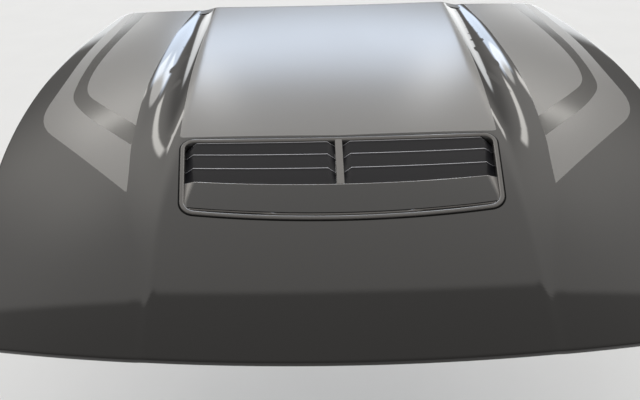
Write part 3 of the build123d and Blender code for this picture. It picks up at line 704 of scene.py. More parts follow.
@dataclass(frozen=True)
class PressedForm:
    """The bonnet's outer form: a falling centre line, a crown, a raised dome and a flute beside it."""

    rear_height: float = 0.159
    nose_fall: float = 0.218
    fall_start: float = 0.024
    fall_length: float = 1.226
    even_share: float = 0.33
    nose_power: float = 2.4
    crown_drop: float = 0.043
    crown_at: float = 0.665
    half_width: float = 0.845
    rounding: float = 0.32
    side_rise: float = 0.3
    least_flute: float = 0.0002
    # y, dome edge, its rise, flute depth, ridge, its rise
    sections: tuple[tuple[float, ...], ...] = (
        (-1.240, 0.318, 0.0006, 0.0005, 0.340, -0.0002),
        (-1.050, 0.333, 0.0020, 0.0006, 0.362, -0.0005),
        (-0.800, 0.350, 0.0055, 0.0030, 0.436, -0.0020),
        (-0.500, 0.361, 0.0070, 0.0150, 0.470, -0.0030),
        (-0.150, 0.374, 0.0065, 0.0120, 0.462, -0.0030),
        (0.150, 0.388, 0.0050, 0.0080, 0.428, -0.0020),
    )

    def centre(self, y: np.ndarray) -> np.ndarray:
        """Height of the centre line: an even fall plus a steeper one towards the nose.

        Args:
            y: places along the car.

        Returns:
            The heights.
        """
        share = (self.fall_start - y) / self.fall_length
        steep = np.maximum(share, 0.0) ** self.nose_power
        return self.rear_height - self.nose_fall * (self.even_share * share + (1 - self.even_share) * steep)

    def crown(self, x: np.ndarray) -> np.ndarray:
        """Drop of the plain crown, which grows with the square of x."""
        return self.crown_drop * (x / self.crown_at) ** 2

    def plain(self, x: np.ndarray, y: np.ndarray) -> np.ndarray:
        """Height of the plain crown, without dome and flutes."""
        return self.centre(y) - self.crown(x)

    def height(self, x: np.ndarray, y: np.ndarray) -> np.ndarray:
        """Height of the outer face.

        Each section has five arcs a side: the dome, its rounded edge, the flute's bottom, the rounded ridge
        and the outer side. The corners of dome, flute and ridge run along smooth curves through the table.

        Args:
            x, y: the place in plan.

        Returns:
            The height over the hinge feet.
        """
        x, y = np.broadcast_arrays(np.abs(np.asarray(x, float)), np.asarray(y, float))
        table = np.array(self.sections)
        dome_x, rise, depth, ridge_x, ridge_rise = (
            smooth_through(table[:, 0], table[:, column], y) for column in range(1, 6)
        )
        top = self.centre(y)
        dome_z = top - self.crown(dome_x) + rise
        ridge_z = top - self.crown(ridge_x) + ridge_rise
        flute_x = (dome_x + ridge_x) / 2
        flute_z = (dome_z + ridge_z) / 2 - np.maximum(depth, self.least_flute)
        inner = np.hypot(flute_x - dome_x, flute_z - dome_z)
        outer = np.hypot(ridge_x - flute_x, ridge_z - flute_z)
        ridge_reach = self.rounding * np.minimum(inner, outer)
        dome_reach = ridge_reach + inner - outer
        start_x = dome_x - dome_reach
        start = (start_x, top - (top - dome_z) / (1 + 2 * dome_reach / start_x))
        along = unit(dome_x - start[0], dome_z - start[1])
        down = unit(flute_x - dome_x, flute_z - dome_z)
        up = unit(ridge_x - flute_x, ridge_z - flute_z)
        shoulder = unit(np.ones_like(ridge_x), -2 * self.crown(ridge_x) / ridge_x)
        dome_end = (dome_x + dome_reach * down[0], dome_z + dome_reach * down[1])
        ridge_start = (ridge_x - ridge_reach * up[0], ridge_z - ridge_reach * up[1])
        ridge_end = (ridge_x + ridge_reach * shoulder[0], ridge_z + ridge_reach * shoulder[1])
        side = (self.half_width + 0 * y, top - self.crown(self.half_width))
        side_x = (ridge_end[0] + side[0]) / 2
        side_middle = (side_x, top - self.crown(side_x) + self.side_rise * ridge_rise)
        z = arc_height(x, (-start[0], start[1]), (0 * y, top), start)
        for begin, centre, end in (
            (start, rounded((dome_x, dome_z), along, down, dome_reach), dome_end),
            (dome_end, rounded((flute_x, flute_z), down, up, inner - dome_reach), ridge_start),
            (ridge_start, rounded((ridge_x, ridge_z), up, shoulder, ridge_reach), ridge_end),
            (ridge_end, side_middle, side),
        ):
            z = np.where(x > begin[0], arc_height(x, begin, centre, end), z)
        return z

    def normal(self, x: np.ndarray, y: np.ndarray) -> np.ndarray:
        """Unit normal of the plain crown, pointing up: its slopes turned into a vector.

        Args:
            x, y: the place in plan.

        Returns:
            The normal.
        """
        step = 1e-4
        dx = (self.plain(x + step, y) - self.plain(x - step, y)) / (2 * step)
        dy = (self.plain(x, y + step) - self.plain(x, y - step)) / (2 * step)
        n = np.stack([-dx, -dy, np.ones_like(dx)], -1)
        return n / np.linalg.norm(n, axis=-1, keepdims=True)

    def under(self, x: float, y: float, depth: float) -> tuple[np.ndarray, np.ndarray]:
        """A place under the plain crown, and the way down from it.

        Args:
            x, y: the place in plan.
            depth: how far under the crown it lies.

        Returns:
            The point, and the direction square to the crown at length one.
        """
        place = np.array([x, y, float(self.plain(x, y)) - depth])
        return place, -self.normal(np.array([x]), np.array([y]))[0]


FORM = PressedForm()
# Depth of the inner panel's underside under the plain crown
PANEL_DEPTH = 0.028


@dataclass(frozen=True)
class Edge:
    """One edge of a plan outline: a circle, with the sheet inside or outside it."""

    x: float
    y: float
    radius: float
    inside: bool = True


@dataclass(frozen=True)
class Plan:
    """A closed plan outline: four arcs in turn, and between two of them a corner near a given place."""

    edges: tuple[Edge, ...]
    corners: tuple[float, ...]
    near: tuple[Pair, ...]
    smallest: float = 0.002

    def loop(self, inset: float) -> np.ndarray:
        """The outline set in by a distance, as a dense ring of points.

        Each corner's centre is where its two edges, moved in by the corner's radius, cross.

        Args:
            inset: how far in.

        Returns:
            Points by two.
        """
        ring, touches, centres, radii = [], [], [], []
        count = len(self.edges)
        edge_radii = [e.radius - inset if e.inside else e.radius + inset for e in self.edges]
        for i in range(count):
            a, b = self.edges[i], self.edges[(i + 1) % count]
            ra, rb = edge_radii[i], edge_radii[(i + 1) % count]
            r = max(self.corners[i] - inset, self.smallest)
            qa, qb = (ra - r if a.inside else ra + r), (rb - r if b.inside else rb + r)
            ca, cb = np.array([a.x, a.y]), np.array([b.x, b.y])
            gap = np.linalg.norm(cb - ca)
            along = (qa**2 - qb**2 + gap**2) / (2 * gap)
            off = math.sqrt(max(qa**2 - along**2, 0.0))
            base = ca + (cb - ca) * along / gap
            side = np.array([-(cb - ca)[1], (cb - ca)[0]]) / gap * off
            centre = min((base + side, base - side), key=lambda p: np.hypot(*(p - self.near[i])))
            touch = [c + (centre - c) / np.linalg.norm(centre - c) * q for c, q in ((ca, ra), (cb, rb))]
            centres.append(centre)
            radii.append(r)
            touches.append(touch)
        for i in range(count):
            edge = self.edges[i]
            ring.append(arc_points((edge.x, edge.y), edge_radii[i], touches[i - 1][1], touches[i][0], 900))
            ring.append(arc_points(centres[i], radii[i], touches[i][0], touches[i][1], 120))
        return np.concatenate(ring)

    def rays(self, inset: float, angles: np.ndarray) -> np.ndarray:
        """The outline's points in given directions from the pole.

        Args:
            inset: how far in.
            angles: the directions, rising.

        Returns:
            Points by two.
        """
        ring = self.loop(inset)
        turn = np.unwrap(np.arctan2(ring[:, 1] - POLE[1], ring[:, 0] - POLE[0]))
        if turn[-1] < turn[0]:
            ring, turn = ring[::-1], turn[::-1]
        turn = np.concatenate([turn - 2 * np.pi, turn, turn + 2 * np.pi])
        ring = np.tile(ring, (3, 1))
        return np.stack([np.interp(angles, turn, ring[:, 0]), np.interp(angles, turn, ring[:, 1])], -1)

    def even_angles(self, count: int) -> np.ndarray:
        """Directions from the pole that share the outline out evenly.

        Args:
            count: how many.

        Returns:
            The angles.
        """
        angles = np.linspace(-np.pi, np.pi, 8000)
        ring = self.rays(0.0, angles)
        run = np.concatenate([[0], np.cumsum(np.hypot(*np.diff(ring, axis=0).T))])
        return np.interp(np.linspace(0, run[-1], count, endpoint=False), run, angles)


def arc_points(centre: Pair, radius: float, first: np.ndarray, last: np.ndarray, count: int) -> np.ndarray:
    """Points of the shorter arc about a centre, from one point to just before another.

    Args:
        centre, radius: the circle.
        first, last: the arc's ends.
        count: how many points.

    Returns:
        Points by two.
    """
    a = math.atan2(first[1] - centre[1], first[0] - centre[0])
    b = math.atan2(last[1] - centre[1], last[0] - centre[0])
    b = a + (b - a + math.pi) % (2 * math.pi) - math.pi
    angle = np.linspace(a, b, count, endpoint=False)
    return np.stack([centre[0] + radius * np.cos(angle), centre[1] + radius * np.sin(angle)], -1)


# Plan of the panel: its four edges, in metres
REAR_RADIUS = 1.978
NOSE_Y = -1.197
NOSE_RADIUS = 3.4
WIDEST = 0.797
WIDEST_Y = -0.360
SIDE_RADIUS = 1.7
# Plan of the vent: its edges, their bows, and the half widths at both
VENT_REAR_Y = -0.728
VENT_FRONT_Y = -0.951
VENT_MIDDLE_Y = -0.84
VENT_REAR_BOW = 4.93
VENT_FRONT_BOW = 1.75
THROAT_FRONT_BOW = 1.35
VENT_REAR_X = 0.343
VENT_FRONT_X = 0.306
# Rays start here, inside both outlines
POLE = (0.0, -0.8395)

PANEL_PLAN = Plan(
    edges=(
        Edge(0.0, REAR_RADIUS, REAR_RADIUS, inside=False),
        Edge(WIDEST - SIDE_RADIUS, WIDEST_Y, SIDE_RADIUS),
        Edge(0.0, NOSE_Y + NOSE_RADIUS, NOSE_RADIUS),
        Edge(SIDE_RADIUS - WIDEST, WIDEST_Y, SIDE_RADIUS),
    ),
    corners=(0.042, 0.075, 0.075, 0.042),
    near=((0.7, 0.1), (0.6, -1.1), (-0.6, -1.1), (-0.7, 0.1)),
)


def vent_plan(front_bow: float) -> Plan:
    """The vent's outline: two bowed edges, and two leaning sides drawn as vast circles.

    Args:
        front_bow: radius of the front edge.

    Returns:
        The plan.
    """
    vast = 2000.0
    across, along = VENT_REAR_X - VENT_FRONT_X, VENT_REAR_Y - VENT_FRONT_Y
    length = math.hypot(across, along)
    hub_x = (VENT_REAR_X + VENT_FRONT_X) / 2 - along / length * vast
    hub_y = (VENT_REAR_Y + VENT_FRONT_Y) / 2 + across / length * vast
    return Plan(
        edges=(
            Edge(0.0, VENT_REAR_Y + VENT_REAR_BOW, VENT_REAR_BOW, inside=False),
            Edge(hub_x, hub_y, vast),
            Edge(0.0, VENT_FRONT_Y + front_bow, front_bow),
            Edge(-hub_x, hub_y, vast),
        ),
        corners=(0.028, 0.042, 0.042, 0.028),
        near=((0.30, -0.75), (0.27, -0.90), (-0.27, -0.90), (-0.30, -0.75)),
    )


VENT_PLAN = vent_plan(VENT_FRONT_BOW)
THROAT_PLAN = vent_plan(THROAT_FRONT_BOW)


def inside_distance(x: np.ndarray, y: np.ndarray, outline: np.ndarray) -> np.ndarray:
    """Distance to a closed outline, positive inside it.

    Each side gives the distance to its own span, and whether a ray from the point crosses it.

    Args:
        x, y: the points.
        outline: corners by two.

    Returns:
        The signed distance.
    """
    best = np.full(x.shape, 1e9)
    inside = np.zeros(x.shape, bool)
    for (ax, ay), (bx, by) in zip(outline, np.roll(outline, -1, axis=0)):
        dx, dy = bx - ax, by - ay
        t = np.clip(((x - ax) * dx + (y - ay) * dy) / max(dx * dx + dy * dy, 1e-18), 0, 1)
        best = np.minimum(best, np.hypot(x - ax - t * dx, y - ay - t * dy))
        crosses = (ay > y) != (by > y)
        at = ax + (y - ay) / np.where(by == ay, 1e-12, by - ay) * dx
        inside ^= crosses & (x < at)
    return np.where(inside, best, -best)


def softened(points: tuple[Triple, ...]) -> np.ndarray:
    """A closed outline with each corner rounded by a curve that leaves its sides at its own reach.

    Args:
        points: x, y and reach of each corner, in millimetres.

    Returns:
        Corners by two, in metres.
    """
    table = np.array(points)
    here, reach = table[:, :2], table[:, 2]
    before, after = np.roll(here, 1, axis=0) - here, np.roll(here, -1, axis=0) - here
    before_length, after_length = np.linalg.norm(before, axis=1), np.linalg.norm(after, axis=1)
    start = here + before * (np.minimum(reach, before_length / 2) / before_length)[:, None]
    end = here + after * (np.minimum(reach, after_length / 2) / after_length)[:, None]
    t = np.linspace(0, 1, 7)[None, :, None]
    curve = (1 - t) ** 2 * start[:, None] + 2 * t * (1 - t) * here[:, None] + t**2 * end[:, None]
    return curve.reshape(-1, 2) * MM


# Sub-assemblies


@dataclass
class OuterSkin:
    """The painted outer panel with its satin fields and its turned hem."""

    sheet: float = 0.0016
    hem_depth: float = 0.009
    hem_radius: float = 0.0032
    hem_edge: float = 0.0008
    # Below this depth no field shows, and its mark says that the point lies this far out of it
    bare_depth: float = 0.004
    far_out: float = -0.1
    hole_inset: float = 0.005
    around: int = 560
    across: int = 128
    under: int = 16
    # Satin wing beside the ridge: x, y, corner reach, in millimetres
    wing: tuple[Triple, ...] = (
        (705, 230, 0), (722, 20, 60), (736, -160, 60), (737, -270, 60), (731, -400, 60), (729, -586, 85),
        (428, -853, 0), (439, -793, 30), (455, -720, 30), (464, -645, 40), (477, -540, 60), (482, -425, 60),
        (480, -300, 60), (476, -140, 60), (462, -30, 60), (436, 230, 0),
    )
    stripe: tuple[Triple, ...] = (
        (686, 230, 0), (689, -100, 60), (700, -250, 60), (692, -385, 50), (676, -492, 45), (600, -586, 60),
        (456, -710, 0), (464, -640, 0), (576, -541, 40), (640, -478, 42), (662, -400, 50), (667, -300, 60),
        (660, -160, 60), (640, 30, 60), (630, 230, 0),
    )
    dome: tuple[Triple, ...] = (
        (-10, 230, 0), (386, 230, 0), (379, 5, 60), (376, -200, 60), (373, -340, 60), (368, -460, 60),
        (358, -580, 60), (350, -668, 40), (345, -712, 6), (-10, -724, 0),
    )

    def marks(self, x: np.ndarray, y: np.ndarray) -> dict[str, np.ndarray]:
        """Signed distances into the satin fields and the stripe, mirrored about the centre.

        Args:
            x, y: the points.

        Returns:
            The distances by the mark's name.
        """
        x = np.abs(x)
        wing = inside_distance(x, y, softened(self.wing))
        dome = inside_distance(x, y, softened(self.dome))
        return {"satin": np.maximum(wing, dome), "stripe": inside_distance(x, y, softened(self.stripe))}

    def build(self) -> None:
        """Builds the sheet as one closed ring of rows.

        Rows run out from the vent's hole along rays, round the hem's edge, down it, back up inside it and
        in again under the sheet. The height is the pressed form's, less each row's depth.
        """
        angles = PANEL_PLAN.even_angles(self.around)
        hole = VENT_PLAN.rays(self.hole_inset, angles)
        r = self.hem_radius
        rim = PANEL_PLAN.rays(r, angles)
        share = np.linspace(0, 1, self.across)[:, None, None]
        plan = list(hole + (rim - hole) * share)
        depth = [0.0] * self.across
        for turn in np.linspace(0, np.pi / 2, 6)[1:]:
            plan.append(PANEL_PLAN.rays(r * (1 - math.sin(turn)), angles))
            depth.append(r * (1 - math.cos(turn)))
        low, break_edge = self.hem_depth, self.hem_edge
        for inset, drop in ((0.0, low - break_edge), (break_edge, low), (self.sheet, low - break_edge / 2)):
            plan.append(PANEL_PLAN.rays(inset, angles))
            depth.append(drop)
        inner = PANEL_PLAN.rays(self.sheet, angles)
        share = np.linspace(1, 0, self.under)[:, None, None]
        plan += list(hole + (inner - hole) * share)
        depth += [self.sheet] * self.under
        plan, depth = np.array(plan), np.array(depth)[:, None]
        x, y = plan[..., 0], plan[..., 1]
        under = np.arange(len(plan)) >= len(plan) - self.under
        bare = (depth > self.bare_depth) | under[:, None]
        marks = {name: np.where(bare, self.far_out, values) for name, values in self.marks(x, y).items()}
        shell = Shell("bonnet_skin")
        shell.grid(np.stack([x, y, FORM.height(x, y) - depth], -1), round_u=True, round_v=True, **marks)
        shell.build("bonnet", Finish.PAINT, "outer_skin")


@dataclass
class HeatVent:
    """Bezel with its centre bar, three louvres a side and the full width lip."""

    band: float = 0.012
    proud: float = 0.0025
    wall: float = 0.0028
    wall_depth: float = 0.034
    # Points round the outline, least half width read in its front half, and height where the throat begins
    around: int = 420
    front_from: float = 0.18
    throat_from: float = -0.015
    bar: float = 0.016
    bar_depth: float = 0.014
    # Top edge before the vent's rear edge, the radius of its bow, and its depth under the form
    rows: tuple[Triple, ...] = ((0.0126, 4.6, 0.0008), (0.046, 2.9, 0.004), (0.086, 2.54, 0.004))
    blade_run: float = 0.050
    foot_depth: float = 0.024
    blade: float = 0.0025
    lean: float = math.radians(16.4)
    end_length: float = 0.016
    end_drop: float = 0.0105
    # Share of the blade that folds, the fold's slant to the front, and the gap to the bezel behind
    end_reach: float = 0.75
    end_back: float = 0.35
    clearance: float = 0.0004
    # How far down the blade its rounded top goes
    corner: float = 0.003
    # About how long a louvre is and how far out it reaches, before both are read from the outline
    bank_length: float = 0.31
    rough_half: float = 0.325
    lip_row: float = 0.1355
    lip_bow: float = 2.25
    lip_proud: float = 0.001
    lip_sheet: float = 0.003
    lip_depth: float = 0.009
    lip_end: float = 0.020
    lip_drop: float = 0.0065
    # How much its points crowd towards the ends, the half width that it starts from, and its rounds
    lip_crowding: float = 1.25
    lip_rough_half: float = 0.30
    rounds: int = 4

    def side(self, y: np.ndarray) -> np.ndarray:
        """Half width inside the bezel at y, read from the outline with its rounded corners.

        In the front half it only grows to the rear. What lies further in than the hindmost point is left out.

        Args:
            y: places along the car.

        Returns:
            The half widths.
        """
        ring = VENT_PLAN.loop(self.band)
        ring = ring[ring[:, 0] > 0]
        hindmost_x = ring[np.argmax(ring[:, 1]), 0]
        ring = ring[ring[:, 0] > np.where(ring[:, 1] > VENT_MIDDLE_Y, hindmost_x - 1e-6, self.front_from)]
        ring = ring[np.argsort(ring[:, 1])]
        widest = np.maximum.accumulate(ring[:, 0])
        return np.interp(y, ring[:, 1], np.where(ring[:, 1] > VENT_MIDDLE_Y, ring[:, 0], widest))

    def carried(self, name: str, profile: tuple[Triple, ...]) -> Shell:
        """A profile of insets, heights on the form and strengths of painted highlight, carried round the
        vent's outline.

        Args:
            name: the piece's name.
            profile: its points in turn; what lies deeper than throat_from follows the throat's outline.

        Returns:
            The shell.
        """
        angles = VENT_PLAN.even_angles(self.around)
        inset, height, tone = np.array(profile).T
        plans = [VENT_PLAN if low > self.throat_from else THROAT_PLAN for low in height]
        rings = np.array([plan.rays(value, angles) for plan, value in zip(plans, inset)])
        x, y = rings[..., 0], rings[..., 1]
        shell = Shell(name)
        points = np.stack([x, y, FORM.height(x, y) + height[:, None]], -1)
        shell.grid(points, round_u=True, round_v=True, tone=tone[:, None])
        return shell

    def bezel(self) -> None:
        """The moulded band with its centre bar, and round it a black rubber gasket, which also paints the
        dark shadow gap at the bezel's edge.
        """
        w, p, d, inner = self.band, self.proud, self.wall_depth, self.band - self.wall
        # Third value of each profile point: strength of the painted highlight, greyest on the band's top and
        # rounded edges
        band = self.carried("vent_bezel_trim", (
            (0.0031, 0.0002, 0.0), (0.0031, 0.0012, 0.1), (0.0036, 0.0019, 0.3), (0.0046, p - 0.0002, 0.3),
            (0.0056, p, 0.22), (w - 0.0034, p, 0.22), (w - 0.0017, p - 0.0003, 0.45),
            (w - 0.0006, p - 0.0012, 0.6), (w, p - 0.0026, 0.1), (w, -0.012, 0.0), (w, -d, 0.0),
            (inner, -d, 0.0), (inner, -0.010, 0.0), (inner - 0.0006, -0.0026, 0.0), (0.0058, -0.0022, 0.0),
            (0.0056, 0.0001, 0.0),
        ))
        # Painted highlight across the bar's profile, greyest on its rounded top
        tone = np.array([0.0, 0.0, 0.3, 0.45, 0.45, 0.45, 0.3, 0.0, 0.0])
        band.grid(self.centre_bar(), round_u=True, tone=tone[None])
        band.build("bonnet", Finish.TRIM, "vent_bezel")
        # A matte black strip round the bezel: a gasket that paints the shadow gap between bezel and skin
        self.carried("vent_gasket_shadow_gap", (
            (0.0, 0.0001, 0.0), (0.0001, 0.0004, 0.0), (0.0005, 0.0006, 0.0), (0.0028, 0.0006, 0.0),
            (0.0034, 0.0004, 0.0), (0.0034, 0.0001, 0.0),
        )).build("bonnet", Finish.RUBBER)

    def centre_bar(self) -> np.ndarray:
        """The bar between the banks: a rounded profile carried along y, sinking to the lip's height in front.

        Returns:
            Rows by columns by three.
        """
        h, r = self.bar / 2, 0.0022
        profile = np.array([
            (-h, -self.bar_depth), (-h, -r), (-h + 0.3 * r, -0.3 * r), (-h + r, 0.0), (0.0, 0.0001),
            (h - r, 0.0), (h - 0.3 * r, -0.3 * r), (h, -r), (h, -self.bar_depth),
        ])
        share = np.linspace(0, 1, 40)[:, None]
        front, rear = VENT_REAR_Y - self.lip_row + 0.0004, VENT_REAR_Y - self.band + 0.003
        y = front + share * (rear - front)
        top = self.lip_proud - 0.0004 + share * (self.proud - 0.0002 - self.lip_proud)
        x = profile[:, 0][None]
        z = FORM.height(0 * x, y) + top + profile[:, 1][None]
        return with_tips(np.stack(np.broadcast_arrays(x, y, z), -1))

    def blade_points(self, row: float, bow: float, top_depth: float, across: int = 90) -> np.ndarray:
        """One louvre of the left bank as a closed skin.

        The straight slanting section turns about a far axis that leans back, which bows it to the rear and
        down to its ends. Near both ends the top edge drops in proportion to how near the end is.

        Args:
            row: distance of its top edge before the vent's rear edge.
            bow: radius of its bow.
            top_depth: how far its top edge lies under the form.
            across: points along it.

        Returns:
            Rows by columns by three.
        """
        top_y = VENT_REAR_Y - row
        top_z = float(FORM.centre(top_y)) - top_depth
        foot_y = top_y - self.blade_run
        foot_z = float(FORM.centre(foot_y)) - self.foot_depth
        length = math.hypot(top_y - foot_y, top_z - foot_z)
        run = np.array([(foot_y - top_y) / length, (foot_z - top_z) / length])
        out = np.array([-abs(run[1]), abs(run[0])])
        t = self.blade
        section = [(0.0, -t * 0.5), (0.0003, -t * 0.15), (0.0010, 0.0), (0.0022, 0.0002), (0.0030, 0.0)]
        section += [(s, 0.0) for s in np.linspace(0.008, length - 0.0008, 9)]
        section += [(length, -t * 0.3), (length, -t * 0.7)]
        section += [(s, -t) for s in np.linspace(length - 0.0008, 0.0010, 8)] + [(0.0003, -t * 0.85)]
        section = np.array(section)
        down, off = section[:, 0], section[:, 1]
        y0 = top_y + run[0] * down + out[0] * off
        z0 = top_z + run[1] * down + out[1] * off
        centre_y, centre_z = top_y + bow * math.cos(self.lean), top_z - bow * math.sin(self.lean)
        reach = (centre_y - y0) * math.cos(self.lean) - (centre_z - z0) * math.sin(self.lean)
        height = (y0 - centre_y) * math.sin(self.lean) + (z0 - centre_z) * math.cos(self.lean)
        first = self.bar / 2
        fold_share = self.end_length / self.bank_length
        share = np.sort(np.concatenate([np.linspace(0, 1, across), [fold_share, 1 - fold_share]]))[:, None]
        rough_x = first + share * (self.rough_half - first)
        bowed = rough_x**2 / (2 * bow) * math.cos(self.lean)
        rough_y = top_y + run[0] * np.maximum(down, self.corner)[None] + bowed
        last = self.side(rough_y)
        x = first + share * (last - first)
        turn = np.arcsin(x / reach[None])
        flat = reach[None] * np.cos(turn)
        y = centre_y + height[None] * math.sin(self.lean) - flat * math.cos(self.lean)
        z = centre_z + height[None] * math.cos(self.lean) + flat * math.sin(self.lean)
        near = np.minimum(x - first, last - x)
        upper = np.clip(1 - down / (self.end_reach * length), 0, 1)[None]
        fold = np.clip(1 - near / self.end_length, 0, 1) * upper
        z = z - self.end_drop * fold
        y = y - self.end_back * self.end_drop * fold
        limit = VENT_REAR_Y + x**2 / (2 * VENT_REAR_BOW) - self.band - self.clearance
        slide = np.maximum(y - out[0] * off[None] - limit, 0)
        y, z = y - slide, z + slide * run[1] / abs(run[0])
        return np.stack([x, y, z], -1)

    def louvres(self) -> None:
        """Both banks of three louvres, the right one a mirror image."""
        for side, sign in (("left", 1.0), ("right", -1.0)):
            shell = Shell(f"louvre_blades_{side}")
            for row, bow, top_depth in self.rows:
                points = self.blade_points(row, bow, top_depth)
                # The top edge's points carry the mark of the painted highlight
                edge = np.zeros(points.shape[1])
                edge[[0, 1, 2, -1]] = 1.0
                shell.grid(points * (sign, 1.0, 1.0), round_u=True, edge=edge[None])
            shell.build("bonnet", Finish.LOUVRE, f"vent_louvres_{side}")

    def lip(self) -> None:
        """The lip before the louvres: a sheet on the form, its rear edge turned down, its ends folded.

        A point's place along the lip goes from its bowed rear edge to the bezel's front. At both ends the
        sheet drops in proportion to how near the end is, over a width that narrows to the front.
        """
        t, p, d = self.lip_sheet, self.lip_proud, self.lip_depth
        front = 0.9994
        section = [(0.0, -d), (0.0, p - 0.0014), (0.008, p - 0.0003), (0.024, p), (0.032, p)]
        section += [(s, p) for s in np.linspace(0.07, 0.905, 20)]
        bead = (
            (0.912, -0.0009), (0.920, -0.0015), (0.929, -0.0014), (0.937, -0.0005), (0.946, 0.0005),
            (0.957, 0.0010), (0.968, 0.0009), (0.978, 0.0002), (0.986, -0.0009), (0.993, -0.0015),
            (front, -0.0016),
        )
        section += [(s, p + rise) for s, rise in bead]
        section += [(s, p - t) for s in np.linspace(front, 0.045, 14)] + [(0.042, -d)]
        section = np.array(section)
        share, height = section[:, 0][None], section[:, 1][None]
        u = np.linspace(-1, 1, 181)[:, None]
        u = np.sign(u) * (1 - (1 - np.abs(u)) ** self.lip_crowding)
        x = u * self.lip_rough_half
        # Half width and place depend on each other, and settle in a few rounds
        for _ in range(self.rounds):
            rear = VENT_REAR_Y - self.lip_row + self.lip_bow - np.sqrt(self.lip_bow**2 - x**2)
            fore = VENT_FRONT_Y + VENT_FRONT_BOW - np.sqrt((VENT_FRONT_BOW - self.band) ** 2 - x**2)
            y = rear + share * (fore - rear)
            x = u * self.side(y)
        end = self.side(y) - np.abs(x)
        width = self.lip_end * (1 - share) + 1e-5
        fold = np.clip(1 - end / width, 0, 1) * (1 - share) * self.lip_drop
        z = FORM.height(x, y) + height - fold
        # Painted highlights: grey along the rear edge's rounding, on the front bead's top and on the tops of
        # the folded ends
        rim = np.zeros(len(section))
        rim[1:4] = (0.6, 0.9, 0.7)
        rim += 0.45 * ((section[:, 0] > 0.94) & (section[:, 0] < 0.98) & (section[:, 1] > p))
        tone = np.maximum(rim[None] + 0 * fold, 0.7 * np.clip(fold / 0.002, 0, 1) * (height > p - 0.001))
        shell = Shell("vent_lip")
        shell.grid(np.stack([x, y, z], -1), round_u=True, tone=tone)
        shell.build("bonnet", Finish.TRIM, "vent_deflector")

    def build(self) -> None:
        """Builds bezel, louvres and lip."""
        self.bezel()
        self.louvres()
        self.lip()


@dataclass
class CarriedSheet:
    """CAD sheet parts that keep their shape: a merged copy of each, with its finish."""

    seam: float = 2e-6
    flat: float = 0.4
    parts: tuple[tuple[str, str, Finish], ...] = (
        ("inner_panel", "bonnet", Finish.COAT),
        ("hinge_bracket_left", "car_side", Finish.HINGE),
        ("hinge_bracket_right", "car_side", Finish.HINGE),
        ("hinge_arm_left", "bonnet", Finish.HINGE),
        ("hinge_arm_right", "bonnet", Finish.HINGE),
        ("strut_bracket_left", "bonnet", Finish.HINGE),
        ("strut_bracket_right", "bonnet", Finish.HINGE),
        ("hinge_pin_left", "car_side", Finish.ZINC),
        ("hinge_pin_right", "car_side", Finish.ZINC),
        ("striker_plate", "bonnet", Finish.ZINC),
    )

    def build(self) -> None:
        """Copies each node, merges its points and its flat faces, and hangs it on the node's body."""
        for node, body, finish in self.parts:
            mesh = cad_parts[node].data.copy()
            mesh.name = f"{node}_sheet"
            work = bmesh.new()
            work.from_mesh(mesh)
            bmesh.ops.remove_doubles(work, verts=work.verts, dist=self.seam)
            limit = math.radians(self.flat)
            bmesh.ops.dissolve_limit(work, angle_limit=limit, verts=work.verts, edges=work.edges)
            work.to_mesh(mesh)
            work.free()
            hang(mesh, body, finish, SHEET_CREASE, node)


